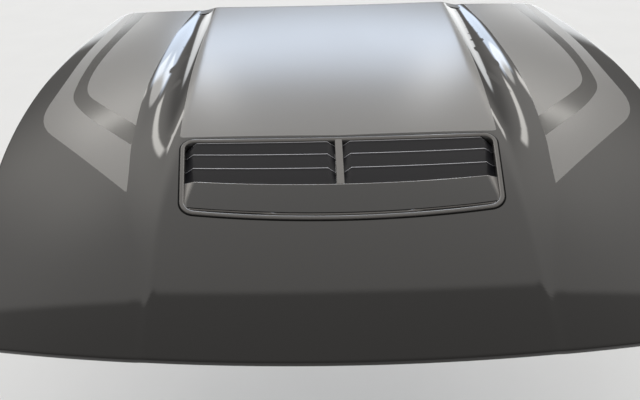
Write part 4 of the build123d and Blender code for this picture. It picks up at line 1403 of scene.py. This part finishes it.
@dataclass
class PanelPressings:
    """Rolled flanges round the inner panel's windows, and the beads between them."""

    # x, y, width, length of the left windows
    windows: tuple[tuple[float, ...], ...] = (
        (0.478, -0.182, 0.120, 0.150),
        (0.482, -0.395, 0.130, 0.150),
        (0.478, -0.607, 0.130, 0.150),
        (0.410, -1.030, 0.150, 0.090),
    )
    radius: float = 0.028
    # x and y at both ends of each left bead
    beads: tuple[tuple[float, ...], ...] = (
        (0.390, -0.288, 0.560, -0.288),
        (0.390, -0.501, 0.570, -0.501),
        (0.372, -0.100, 0.372, -0.620),
        (0.640, -0.180, 0.655, -0.560),
        (0.130, -1.020, 0.300, -1.010),
        (0.180, -1.090, 0.300, -1.080),
    )
    # Half width and height of a rolled rim, how far it laps the window, and its depth in the panel
    roll: float = 0.0052
    roll_height: float = 0.0030
    lap: float = 0.0006
    sunk: float = 0.0010
    bead_width: float = 0.016
    bead_height: float = 0.0035

    def seat(self, x: np.ndarray, y: np.ndarray) -> np.ndarray:
        """Height of the inner panel's underside."""
        return FORM.plain(x, y) - PANEL_DEPTH

    def flange(self, x: float, y: float, width: float, length: float) -> np.ndarray:
        """A rolled rim: a half round profile carried round a window's rounded outline.

        Args:
            x, y: the window's middle.
            width, length: its size.

        Returns:
            Rows by columns by three.
        """
        w, h, r = width / 2, length / 2, self.radius
        angle = np.linspace(0, np.pi / 2, 10)
        quarter = np.stack([np.cos(angle), np.sin(angle)], -1)
        spins = [quarter, quarter[:, ::-1] * (-1, 1), -quarter, quarter[:, ::-1] * (1, -1)]
        turns = np.concatenate(spins)
        hubs = np.repeat([(w - r, h - r), (r - w, h - r), (r - w, r - h), (w - r, r - h)], 10, axis=0)
        roll = np.linspace(0, np.pi, 9)
        out = self.roll - self.roll * np.cos(roll) - self.lap
        out = np.concatenate([out, [2 * self.roll - self.lap, -self.lap]])
        low = np.concatenate([-self.roll_height * np.sin(roll), [self.sunk, self.sunk]])
        plan = hubs[None] + turns[None] * (r + out[:, None, None])
        px, py = x + plan[..., 0], y + plan[..., 1]
        return np.stack([px, py, self.seat(px, py) + low[:, None]], -1)

    def bead(self, x0: float, y0: float, x1: float, y1: float) -> np.ndarray:
        """A pressed bead: a half ellipse across, fading out over its own width at both ends.

        Args:
            x0, y0: its start.
            x1, y1: its end.

        Returns:
            Rows by columns by three.
        """
        share = np.linspace(0, 1, 60)[:, None]
        across = np.linspace(-1, 1, 13)[None]
        length = math.hypot(x1 - x0, y1 - y0)
        run = np.array([x1 - x0, y1 - y0]) / length
        end = np.clip(np.minimum(share, 1 - share) * length / self.bead_width, 0, 1)
        swell = np.sqrt(1 - (1 - end) ** 2)
        off = across * self.bead_width / 2 * np.maximum(swell, 0.02)
        x = x0 + run[0] * share * length - run[1] * off
        y = y0 + run[1] * share * length + run[0] * off
        low = self.bead_height * swell * (1 - across**2)
        top = np.stack([x, y, self.seat(x, y) - low + 0.0002], -1)
        back = np.stack([x, y, self.seat(x, y) + 0.0008 + 0 * low], -1)
        return with_tips(np.concatenate([top, back[:, ::-1]], 1))

    def build(self) -> None:
        """Builds flanges and beads on both sides."""
        flanges, beads = Shell("window_flanges"), Shell("panel_beads")
        for sign in (1.0, -1.0):
            for window in self.windows:
                flanges.grid(self.flange(*window) * (sign, 1.0, 1.0), round_u=True, round_v=True)
            for bead in self.beads:
                beads.grid(self.bead(*bead) * (sign, 1.0, 1.0), round_u=True)
        flanges.build("bonnet", Finish.COAT)
        beads.build("bonnet", Finish.COAT)


@dataclass
class GasStrut:
    """One gas strut: a tube with its foot eye, and a chromed rod with its top eye."""

    side: str
    x: float = 0.590
    foot: Pair = (0.012683, -0.025182)
    top: Pair = (-0.285, 0.047)
    eye_width: float = 0.012

    def eye(self, place: Pair, radius: float, bore: float) -> np.ndarray:
        """A ring about the X axis with chamfered edges: its closed profile turned about the eye's axis.

        Args:
            place: y and z of its centre.
            radius, bore: its outer and inner radius.

        Returns:
            Rows by columns by three.
        """
        h, c = self.eye_width / 2, 0.0007
        profile = np.array([
            (bore, -h + c), (bore + c, -h), (radius - c, -h), (radius, -h + c), (radius, h - c),
            (radius - c, h), (bore + c, h), (bore, h - c), (bore, -h + c),
        ])
        return turned(profile, (self.sign * self.x, *place), (1.0, 0.0, 0.0), 56)

    @property
    def sign(self) -> float:
        """1 on the car's left, -1 on its right."""
        return 1.0 if self.side == "left" else -1.0

    def build(self) -> None:
        """Builds both halves along the line from foot to top, each on its own body."""
        length = math.hypot(self.top[0] - self.foot[0], self.top[1] - self.foot[1])
        along = (0.0, (self.top[0] - self.foot[0]) / length, (self.top[1] - self.foot[1]) / length)
        origin = (self.sign * self.x, *self.foot)
        tube = np.array([
            (0.0, 7.5), (3.9, 7.5), (3.9, 13.0), (5.6, 14.0), (5.6, 19.0), (7.0, 20.4), (9.2, 21.2),
            (10.0, 23.0), (10.0, 198.0), (9.4, 199.6), (9.4, 201.4), (10.0, 203.0), (10.0, 211.6),
            (9.4, 213.6), (8.0, 214.8), (5.2, 214.9), (4.1, 214.2), (4.1, 203.2), (8.5, 203.0), (8.5, 32.0),
            (0.0, 32.0),
        ]) * MM
        shell = Shell(f"gas_tube_{self.side}")
        shell.grid(turned(tube, origin, along), round_u=True)
        shell.grid(self.eye(self.foot, 0.009, 0.00406), round_u=True)
        shell.build(f"strut_tube_{self.side}", Finish.STRUT, f"strut_tube_{self.side}")
        end = length / MM - 11.0
        rod = np.array([
            (0.0, 60.2), (7.6, 60.2), (8.2, 61.0), (8.2, 69.0), (7.6, 69.8), (3.98, 70.0), (3.98, end - 9.0),
            (5.2, end - 8.0), (5.2, end - 1.0), (4.0, end), (0.0, end),
        ]) * MM
        shell = Shell(f"gas_rod_{self.side}")
        shell.grid(turned(rod, origin, along), round_u=True)
        shell.grid(self.eye(self.top, 0.0125, 0.0095), round_u=True)
        shell.build(f"strut_rod_{self.side}", Finish.CHROME, f"strut_rod_{self.side}")


@dataclass
class Fasteners:
    """Hexagon bolts with washers under the bonnet."""

    flat: float = 0.0065
    head: float = 0.0048
    washer: float = 0.0095
    thickness: float = 0.0014
    seated: float = 0.0002
    # The corners' reach on the blunted top, against the flats, and the top's size against the head
    blunt: float = 1.07
    top: float = 0.93
    # x, y and depth under the plain crown of the left bolts
    left: tuple[Triple, ...] = (
        (0.590, -0.105, 0.032),
        (0.590, -0.050, 0.032),
        (0.590, 0.002, 0.032),
        (0.586, -0.307, 0.0315),
        (0.586, -0.263, 0.0315),
        (0.042, -1.121, 0.031),
        (0.042, -1.095, 0.031),
    )

    def bolt(self, x: float, y: float, depth: float, sign: float) -> list[np.ndarray]:
        """A washer and a six sided head, whose radius is flat / cos of the angle from the nearest flat.

        Args:
            x, y: its place.
            depth: depth of its seat.
            sign: the side of the car.

        Returns:
            Two grids.
        """
        place, down = FORM.under(sign * x, y, depth)
        place = place - down * self.seated
        rim, thick = self.washer, self.thickness
        disc = [(0.0, 0.0), (rim, 0.0), (rim, 0.0010), (rim - 0.0005, thick), (0.0, thick)]
        washer = turned(np.array(disc), place, down, 36)
        angle = np.linspace(0, 2 * np.pi, 48, endpoint=False)
        stretch = self.flat / np.cos((angle % (np.pi / 3)) - np.pi / 6)
        full, blunt = stretch[:, None], np.minimum(stretch, self.flat * self.blunt)[:, None]
        first = np.cross(down, (0.0, 1.0, 0.0))
        first /= np.linalg.norm(first)
        second = np.cross(down, first)
        ring = np.cos(angle)[:, None] * first + np.sin(angle)[:, None] * second
        rows = (
            (0.0 * full, 0.0012), (full, 0.0012), (full, self.head - 0.0004), (self.top * blunt, self.head),
            (0.0 * blunt, self.head),
        )
        head = [place + down * height + ring * radius for radius, height in rows]
        return [washer, np.array(head)]

    def build(self) -> None:
        """Builds the bolts of both sides as one piece."""
        shell = Shell("bonnet_bolts")
        for sign in (1.0, -1.0):
            for x, y, depth in self.left:
                for points in self.bolt(x, y, depth, sign):
                    shell.grid(points, round_u=True)
        shell.build("bonnet", Finish.ZINC)


@dataclass
class Striker:
    """The latch striker: one bent round bar."""

    y: float = -1.108
    width: float = 0.044
    bar: float = 0.0039
    seat_depth: float = 0.030
    bottom: float = -0.1050
    bend: float = 0.009

    def build(self) -> None:
        """Builds the bar along a U: two legs, two quarter bends and the foot between them."""
        top = float(FORM.centre(self.y)) - self.seat_depth
        h, r = self.width / 2, self.bend
        leg = np.linspace(top, self.bottom + r, 12)
        turn = np.linspace(0, np.pi / 2, 10)[1:]
        bend = np.stack([-h + r - r * np.cos(turn), self.bottom + r - r * np.sin(turn)], -1)
        foot = np.stack([np.linspace(-h + r, h - r, 10)[1:-1], np.full(8, self.bottom)], -1)
        half = np.concatenate([np.stack([np.full(12, -h), leg], -1), bend])
        path = np.concatenate([half, foot, (half * (-1, 1))[::-1]])
        path = np.stack([path[:, 0], np.full(len(path), self.y), path[:, 1]], -1)
        shell = Shell("striker_loop")
        shell.grid(tube_along(path, self.bar, 20), round_u=True)
        shell.build("bonnet", Finish.ZINC, "latch_striker")


@dataclass
class Rubbers:
    """Front bulb seal and the two bump stops."""

    seal_inset: float = 0.050
    half_length: float = 0.4995
    stop: Pair = (0.560, -1.040)

    def seal(self) -> None:
        """The strip, its foot and bulb profile carried along an arc inside the panel's front edge."""
        roll = np.linspace(-0.15 * np.pi, 1.15 * np.pi, 22)
        bulb = np.stack([0.0059 * np.cos(roll), -0.0080 - 0.0058 * np.sin(roll)], -1)
        profile = np.concatenate([
            [(0.0098, -0.0002), (0.0098, -0.0030), (0.0090, -0.0038), (0.0058, -0.0040)],
            bulb,
            [(-0.0058, -0.0040), (-0.0090, -0.0038), (-0.0098, -0.0030), (-0.0098, -0.0002)],
        ])
        x = np.linspace(-self.half_length, self.half_length, 150)[:, None]
        radius = NOSE_RADIUS - self.seal_inset - profile[:, 0][None]
        y = NOSE_Y + NOSE_RADIUS - np.sqrt(radius**2 - x**2)
        x = np.broadcast_to(x, y.shape)
        shell = Shell("nose_seal")
        z = FORM.plain(x, y) - PANEL_DEPTH + profile[:, 1][None]
        shell.grid(np.stack([x, y, z], -1), round_u=True)
        shell.build("bonnet", Finish.RUBBER, "front_seal")

    def stops(self) -> None:
        """Ribbed buffers: a stepped profile turned about an axis square to the panel."""
        x, y = self.stop
        profile = np.array([
            (0.0, 0.0), (15.2, 0.0), (16.0, 0.8), (16.0, 4.4), (15.0, 5.6), (12.4, 6.4), (11.8, 7.4),
            (12.6, 8.6), (13.0, 9.6), (12.6, 10.6), (11.9, 11.8), (12.6, 13.0), (13.0, 14.0), (12.6, 15.0),
            (11.9, 16.2), (12.4, 17.4), (12.9, 19.0), (12.9, 22.2), (12.2, 23.4), (10.6, 23.9), (0.0, 23.6),
        ]) * MM
        for side, sign in (("left", 1.0), ("right", -1.0)):
            shell = Shell(f"buffer_{side}")
            shell.grid(turned(profile, *FORM.under(sign * x, y, PANEL_DEPTH), 56), round_u=True)
            shell.build("bonnet", Finish.RUBBER, f"bump_stop_{side}")

    def build(self) -> None:
        """Builds seal and stops."""
        self.seal()
        self.stops()


@dataclass
class SoundPad:
    """The fleece pad and the clips that hold it."""

    thickness: float = 0.014
    half_width: float = 0.318
    y: Pair = (-0.610, -0.075)
    radius: float = 0.045
    pressed: float = 0.004
    rim: float = 0.010
    border: float = 0.030
    spare: float = 0.0008
    unevenness: float = 0.0006
    thinnest: float = 0.002
    dimple: float = 0.0062
    dimple_reach: float = 0.034
    clip_gap: float = 0.0006
    clips: tuple[Pair, ...] = ((0.0, 0.0), (0.78, 0.74), (-0.78, 0.74), (0.78, -0.74), (-0.78, -0.74))

    def clip_places(self) -> np.ndarray:
        """Clip centres in plan."""
        middle, half = sum(self.y) / 2, (self.y[1] - self.y[0]) / 2
        return np.array([(sx * self.half_width, middle + sy * half) for sx, sy in self.clips])

    def full(self, x: np.ndarray, y: np.ndarray, in_from_edge: np.ndarray) -> np.ndarray:
        """Thickness of the pad: pressed thin at its border, swelling inwards, drawn in round each clip.

        The swell is a smooth step over the border, less low waves. A clip draws it in by a bell curve.

        Args:
            x, y: the points.
            in_from_edge: how far in from the outline they lie.

        Returns:
            The thickness.
        """
        swell = np.clip((in_from_edge - self.rim) / self.border, 0, 1)
        swell = swell * swell * (3 - 2 * swell)
        t = self.pressed + (self.thickness - self.spare - self.pressed) * swell
        waves = np.sin(x * 61 + 2 * np.sin(y * 23)) * np.sin(y * 57 + 1.3)
        t = t - self.unevenness * swell * (1 + waves) / 2
        for cx, cy in self.clip_places():
            t = t - self.dimple * np.exp(-((x - cx) ** 2 + (y - cy) ** 2) / self.dimple_reach**2)
        return np.maximum(t, self.thinnest)

    def build(self) -> None:
        """Builds the pad as one closed skin of rings, and the clips in their dimples."""
        middle, half = sum(self.y) / 2, (self.y[1] - self.y[0]) / 2
        turn = np.linspace(0, np.pi / 2, 40, endpoint=False)
        quarter = np.stack([np.cos(turn), np.sin(turn)], -1)
        w, h, r = self.half_width, half, self.radius
        corner = np.concatenate([
            np.stack([np.full(40, w), np.linspace(0, h - r, 40, endpoint=False)], -1),
            quarter * r + (w - r, h - r),
            np.stack([np.linspace(w - r, 0, 40, endpoint=False), np.full(40, h)], -1),
        ])
        ring = np.concatenate([corner, (corner * (-1, 1))[::-1], corner * (-1, -1), (corner * (1, -1))[::-1]])
        scale = np.concatenate([np.linspace(0.0, 0.84, 40), np.linspace(0.85, 1.0, 26)])[:, None, None]
        plan = ring[None] * scale
        x, y = plan[..., 0], plan[..., 1] + middle
        edge = np.minimum(w - np.abs(x), h - np.abs(y - middle))
        inward = np.stack([w - np.abs(x), h - np.abs(y - middle)], -1)
        corner_in = r - np.hypot(np.maximum(r - inward[..., 0], 0), np.maximum(r - inward[..., 1], 0))
        edge = np.where((inward < r).all(-1), corner_in, edge)
        seat = FORM.plain(x, y) - PANEL_DEPTH
        face = np.stack([x, y, seat - self.full(x, y, np.maximum(edge, 0))], -1)
        back = np.stack([x, y, seat - 0.0002], -1)
        shell = Shell("sound_pad")
        shell.grid(np.concatenate([face, back[::-1]]), round_u=True)
        pad = shell.build("bonnet", Finish.FLEECE, "insulator_pad")
        shell = Shell("pad_clips")
        profile = np.array([
            (0.0, -1.5), (10.4, -1.5), (11.0, -0.7), (11.0, 0.1), (10.3, 0.8), (8.6, 1.2), (6.6, 1.0),
            (5.4, 0.4), (4.6, 0.2), (4.2, 1.0), (3.4, 1.4), (0.0, 1.5),
        ]) * MM
        for cx, cy in self.clip_places():
            # The clips lie clear of the border, and there any distance in over its width says the same
            depth = PANEL_DEPTH + float(self.full(cx, cy, self.half_width)) + self.clip_gap
            shell.grid(turned(profile, *FORM.under(cx, cy, depth)), round_u=True)
        shell.build("bonnet", Finish.CLIP, "liner_clips")


@dataclass(frozen=True)
class SoftPanel:
    """A soft edged light panel on the sky, in degrees, its azimuth from the car's rear towards its left."""

    elevation: float
    azimuth: float
    half_height: float
    half_width: float
    strength: float
    tint: Triple
    soft: float = 1.2

    def axes(self) -> tuple[Vector, Vector, Vector]:
        """Directions to its centre, along its width and along its height.

        Returns:
            The three, each at length one.
        """
        e, a = math.radians(self.elevation), math.radians(self.azimuth)
        centre = Vector((math.sin(a) * math.cos(e), math.cos(a) * math.cos(e), math.sin(e)))
        wide = Vector((math.cos(a), -math.sin(a), 0.0))
        return centre, wide, wide.cross(centre)


class Sky(Bench):
    """The world's nodes: light by the direction that it comes from."""

    def __init__(self, tree: bpy.types.NodeTree) -> None:
        """Reads the direction.

        Args:
            tree: the world's nodes.
        """
        super().__init__(tree)
        self.direction = self.nodes.new("ShaderNodeTexCoord").outputs["Generated"]
        self.split = self.nodes.new("ShaderNodeSeparateXYZ")
        self.links.new(self.direction, self.split.inputs[0])

    def step(self, axis: str, low: float, high: float, to_low: float, to_high: float) -> Socket:
        """A smooth step of the direction's part along X, Y or Z."""
        return self.ranged(self.split.outputs[axis], low, high, to_low, to_high)

    def product(self, first: Socket, second: Socket) -> Socket:
        """Two values multiplied."""
        return self.combine("MULTIPLY", first, second)

    def along(self, axis: Vector) -> Socket:
        """The direction's part along any axis.

        Args:
            axis: the axis, at length one.

        Returns:
            The value.
        """
        node = self.nodes.new("ShaderNodeVectorMath")
        node.operation = "DOT_PRODUCT"
        self.links.new(self.direction, node.inputs[0])
        node.inputs[1].default_value = axis
        return node.outputs["Value"]

    def panel(self, panel: SoftPanel) -> Socket:
        """A panel's strength: full where both tangents from its centre stay under those of its half sizes.

        Args:
            panel: the panel.

        Returns:
            The strength.
        """
        centre, wide, high = (self.along(axis) for axis in panel.axes())
        value = self.ranged(centre, 0.2, 0.4, 0.0, panel.strength)
        for socket, half in ((wide, panel.half_width), (high, panel.half_height)):
            tangent = self.combine("ABSOLUTE", self.combine("DIVIDE", socket, centre))
            inner, outer = (math.tan(math.radians(half + side * panel.soft)) for side in (-1, 1))
            value = self.product(value, self.ranged(tangent, inner, outer, 1.0, 0.0))
        return value

    def unseen(self, strength: Socket) -> Socket:
        """A strength that the camera doesn't see directly, as it doesn't see a lamp."""
        seen = self.nodes.new("ShaderNodeLightPath").outputs["Is Camera Ray"]
        return self.product(strength, self.ranged(seen, 0.0, 1.0, 1.0, 0.0))

    def glow(self, strength: Socket, tint: Triple) -> Socket:
        """Light of a tint and a strength.

        Args:
            strength: how bright.
            tint: its colour.

        Returns:
            The light.
        """
        node = self.nodes.new("ShaderNodeBackground")
        node.inputs["Color"].default_value = (*tint, 1.0)
        self.links.new(strength, node.inputs["Strength"])
        return node.outputs[0]

    def added(self, first: Socket, second: Socket) -> Socket:
        """Two lights together.

        Args:
            first, second: the lights.

        Returns:
            Their sum.
        """
        node = self.nodes.new("ShaderNodeAddShader")
        self.links.new(first, node.inputs[0])
        self.links.new(second, node.inputs[1])
        return node.outputs[0]


@dataclass
class Studio:
    """Pale floor, soft light and the camera."""

    floor_z: float = -0.92
    floor_half: float = 9.0
    floor_tones: tuple[Triple, Triple] = ((0.70, 0.70, 0.695), (0.74, 0.74, 0.735))
    camera: Triple = (-0.0358, -1.6202, 0.5619)
    pitch: float = math.radians(36.51)
    yaw: float = math.radians(-0.44)
    roll: float = math.radians(-1.54)
    sensor: float = 36.0
    # Focal length and width of the picture in pixels
    focal: float = 470.0
    width: float = 640.0
    tint: Triple = (1.0, 0.975, 0.94)
    # Direction's part along one axis: low, high, value at low, value at high
    horizon: tuple[float, ...] = (0.06, 0.30, 0.80, 0.0)
    lower: tuple[float, ...] = (0.06, 0.30, 0.0, 0.45)
    rise: tuple[float, ...] = (0.30, 0.75, 0.0, 1.30)
    overhead: tuple[float, ...] = (0.13, 0.16, 0.485, 0.0)
    ceiling: tuple[float, ...] = (0.50, 0.72, 0.0, 1.0)
    behind: tuple[float, ...] = (-0.7, 0.5, 0.50, 1.0)
    panels: tuple[SoftPanel, ...] = (
        SoftPanel(30.5, 0.0, 7.5, 19.0, 4.6, (0.80, 0.94, 1.15)),
        SoftPanel(8.0, 30.0, 7.5, 9.0, 2.4, (0.95, 0.98, 1.0)),
        SoftPanel(8.0, -30.0, 7.5, 9.0, 2.4, (0.95, 0.98, 1.0)),
        SoftPanel(38.0, 18.5, 6.0, 2.5, 3.2, (1.0, 0.99, 0.96), 0.7),
        SoftPanel(38.0, -18.5, 6.0, 2.5, 3.2, (1.0, 0.99, 0.96), 0.7),
        SoftPanel(34.5, 35.0, 1.6, 7.0, 4.5, (1.0, 0.98, 0.93), 0.7),
        SoftPanel(34.5, -35.0, 1.6, 7.0, 4.5, (1.0, 0.98, 0.93), 0.7),
        SoftPanel(39.0, 44.0, 10.0, 12.0, 0.25, (1.0, 0.96, 0.88), 7.0),
        SoftPanel(39.0, -44.0, 10.0, 12.0, 0.5, (1.0, 0.96, 0.88), 7.0),
    )

    def floor(self) -> None:
        """A wide pale floor."""
        mesh = bpy.data.meshes.new("studio_floor")
        h, z = self.floor_half, self.floor_z
        mesh.from_pydata([(-h, -h, z), (h, -h, z), (h, h, z), (-h, h, z)], [], [(0, 1, 2, 3)])
        floor = bpy.data.objects.new("studio_floor", mesh)
        bpy.context.scene.collection.objects.link(floor)
        r = Recipe("studio_floor")
        r.feed("Base Color", r.blend(r.noise(3), *self.floor_tones))
        r.set(Roughness=0.8)
        mesh.materials.append(r.material)

    def world(self) -> None:
        """A soft dome, dim right overhead and low down, and the soft panels on it."""
        world = bpy.data.worlds.new("studio")
        bpy.context.scene.world = world
        world.use_nodes = True
        sky = Sky(world.node_tree)
        upper = sky.combine("ADD", sky.step("Z", *self.lower), sky.step("Z", *self.rise))
        shade = sky.product(sky.step("Y", *self.overhead), sky.step("Z", *self.ceiling))
        upper = sky.product(upper, sky.ranged(shade, 0.0, 1.0, 1.0, 0.0))
        upper = sky.product(upper, sky.step("Y", *self.behind))
        shader = sky.glow(sky.combine("ADD", upper, sky.step("Z", *self.horizon)), self.tint)
        for panel in self.panels:
            shader = sky.added(shader, sky.glow(sky.unseen(sky.panel(panel)), panel.tint))
        world.node_tree.links.new(shader, world.node_tree.nodes["World Output"].inputs["Surface"])

    def photographer(self) -> None:
        """The camera, turned by the yaw, pitch and roll that match the photograph."""
        cp, sp, cy, sy = math.cos(self.pitch), math.sin(self.pitch), math.cos(self.yaw), math.sin(self.yaw)
        ahead = Vector((sy * cp, cy * cp, -sp))
        right = Vector((cy, -sy, 0.0))
        up = right.cross(ahead)
        level = right * math.cos(self.roll) + up * math.sin(self.roll)
        upright = -right * math.sin(self.roll) + up * math.cos(self.roll)
        data = bpy.data.cameras.new("camera")
        data.sensor_width, data.lens = self.sensor, self.focal / self.width * self.sensor
        data.clip_start, data.clip_end = 0.02, 60.0
        camera = bpy.data.objects.new("camera", data)
        turn = Matrix((level, upright, -ahead)).transposed().to_4x4()
        camera.matrix_world = Matrix.Translation(self.camera) @ turn
        bpy.context.scene.collection.objects.link(camera)
        bpy.context.scene.camera = camera

    def build(self) -> None:
        """Sets floor, light and camera, and a plain view transform."""
        self.floor()
        self.world()
        self.photographer()
        bpy.context.scene.view_settings.view_transform = "Standard"


def main() -> None:
    """Builds every sub-assembly in turn."""
    logging.basicConfig(level=logging.INFO, format="%(name)s %(message)s")
    for assembly in (
        OuterSkin(), HeatVent(), CarriedSheet(), PanelPressings(), GasStrut("left"), GasStrut("right"),
        Fasteners(), Striker(), Rubbers(), SoundPad(), Studio(),
    ):
        assembly.build()


if __name__ == "__main__":
    main()
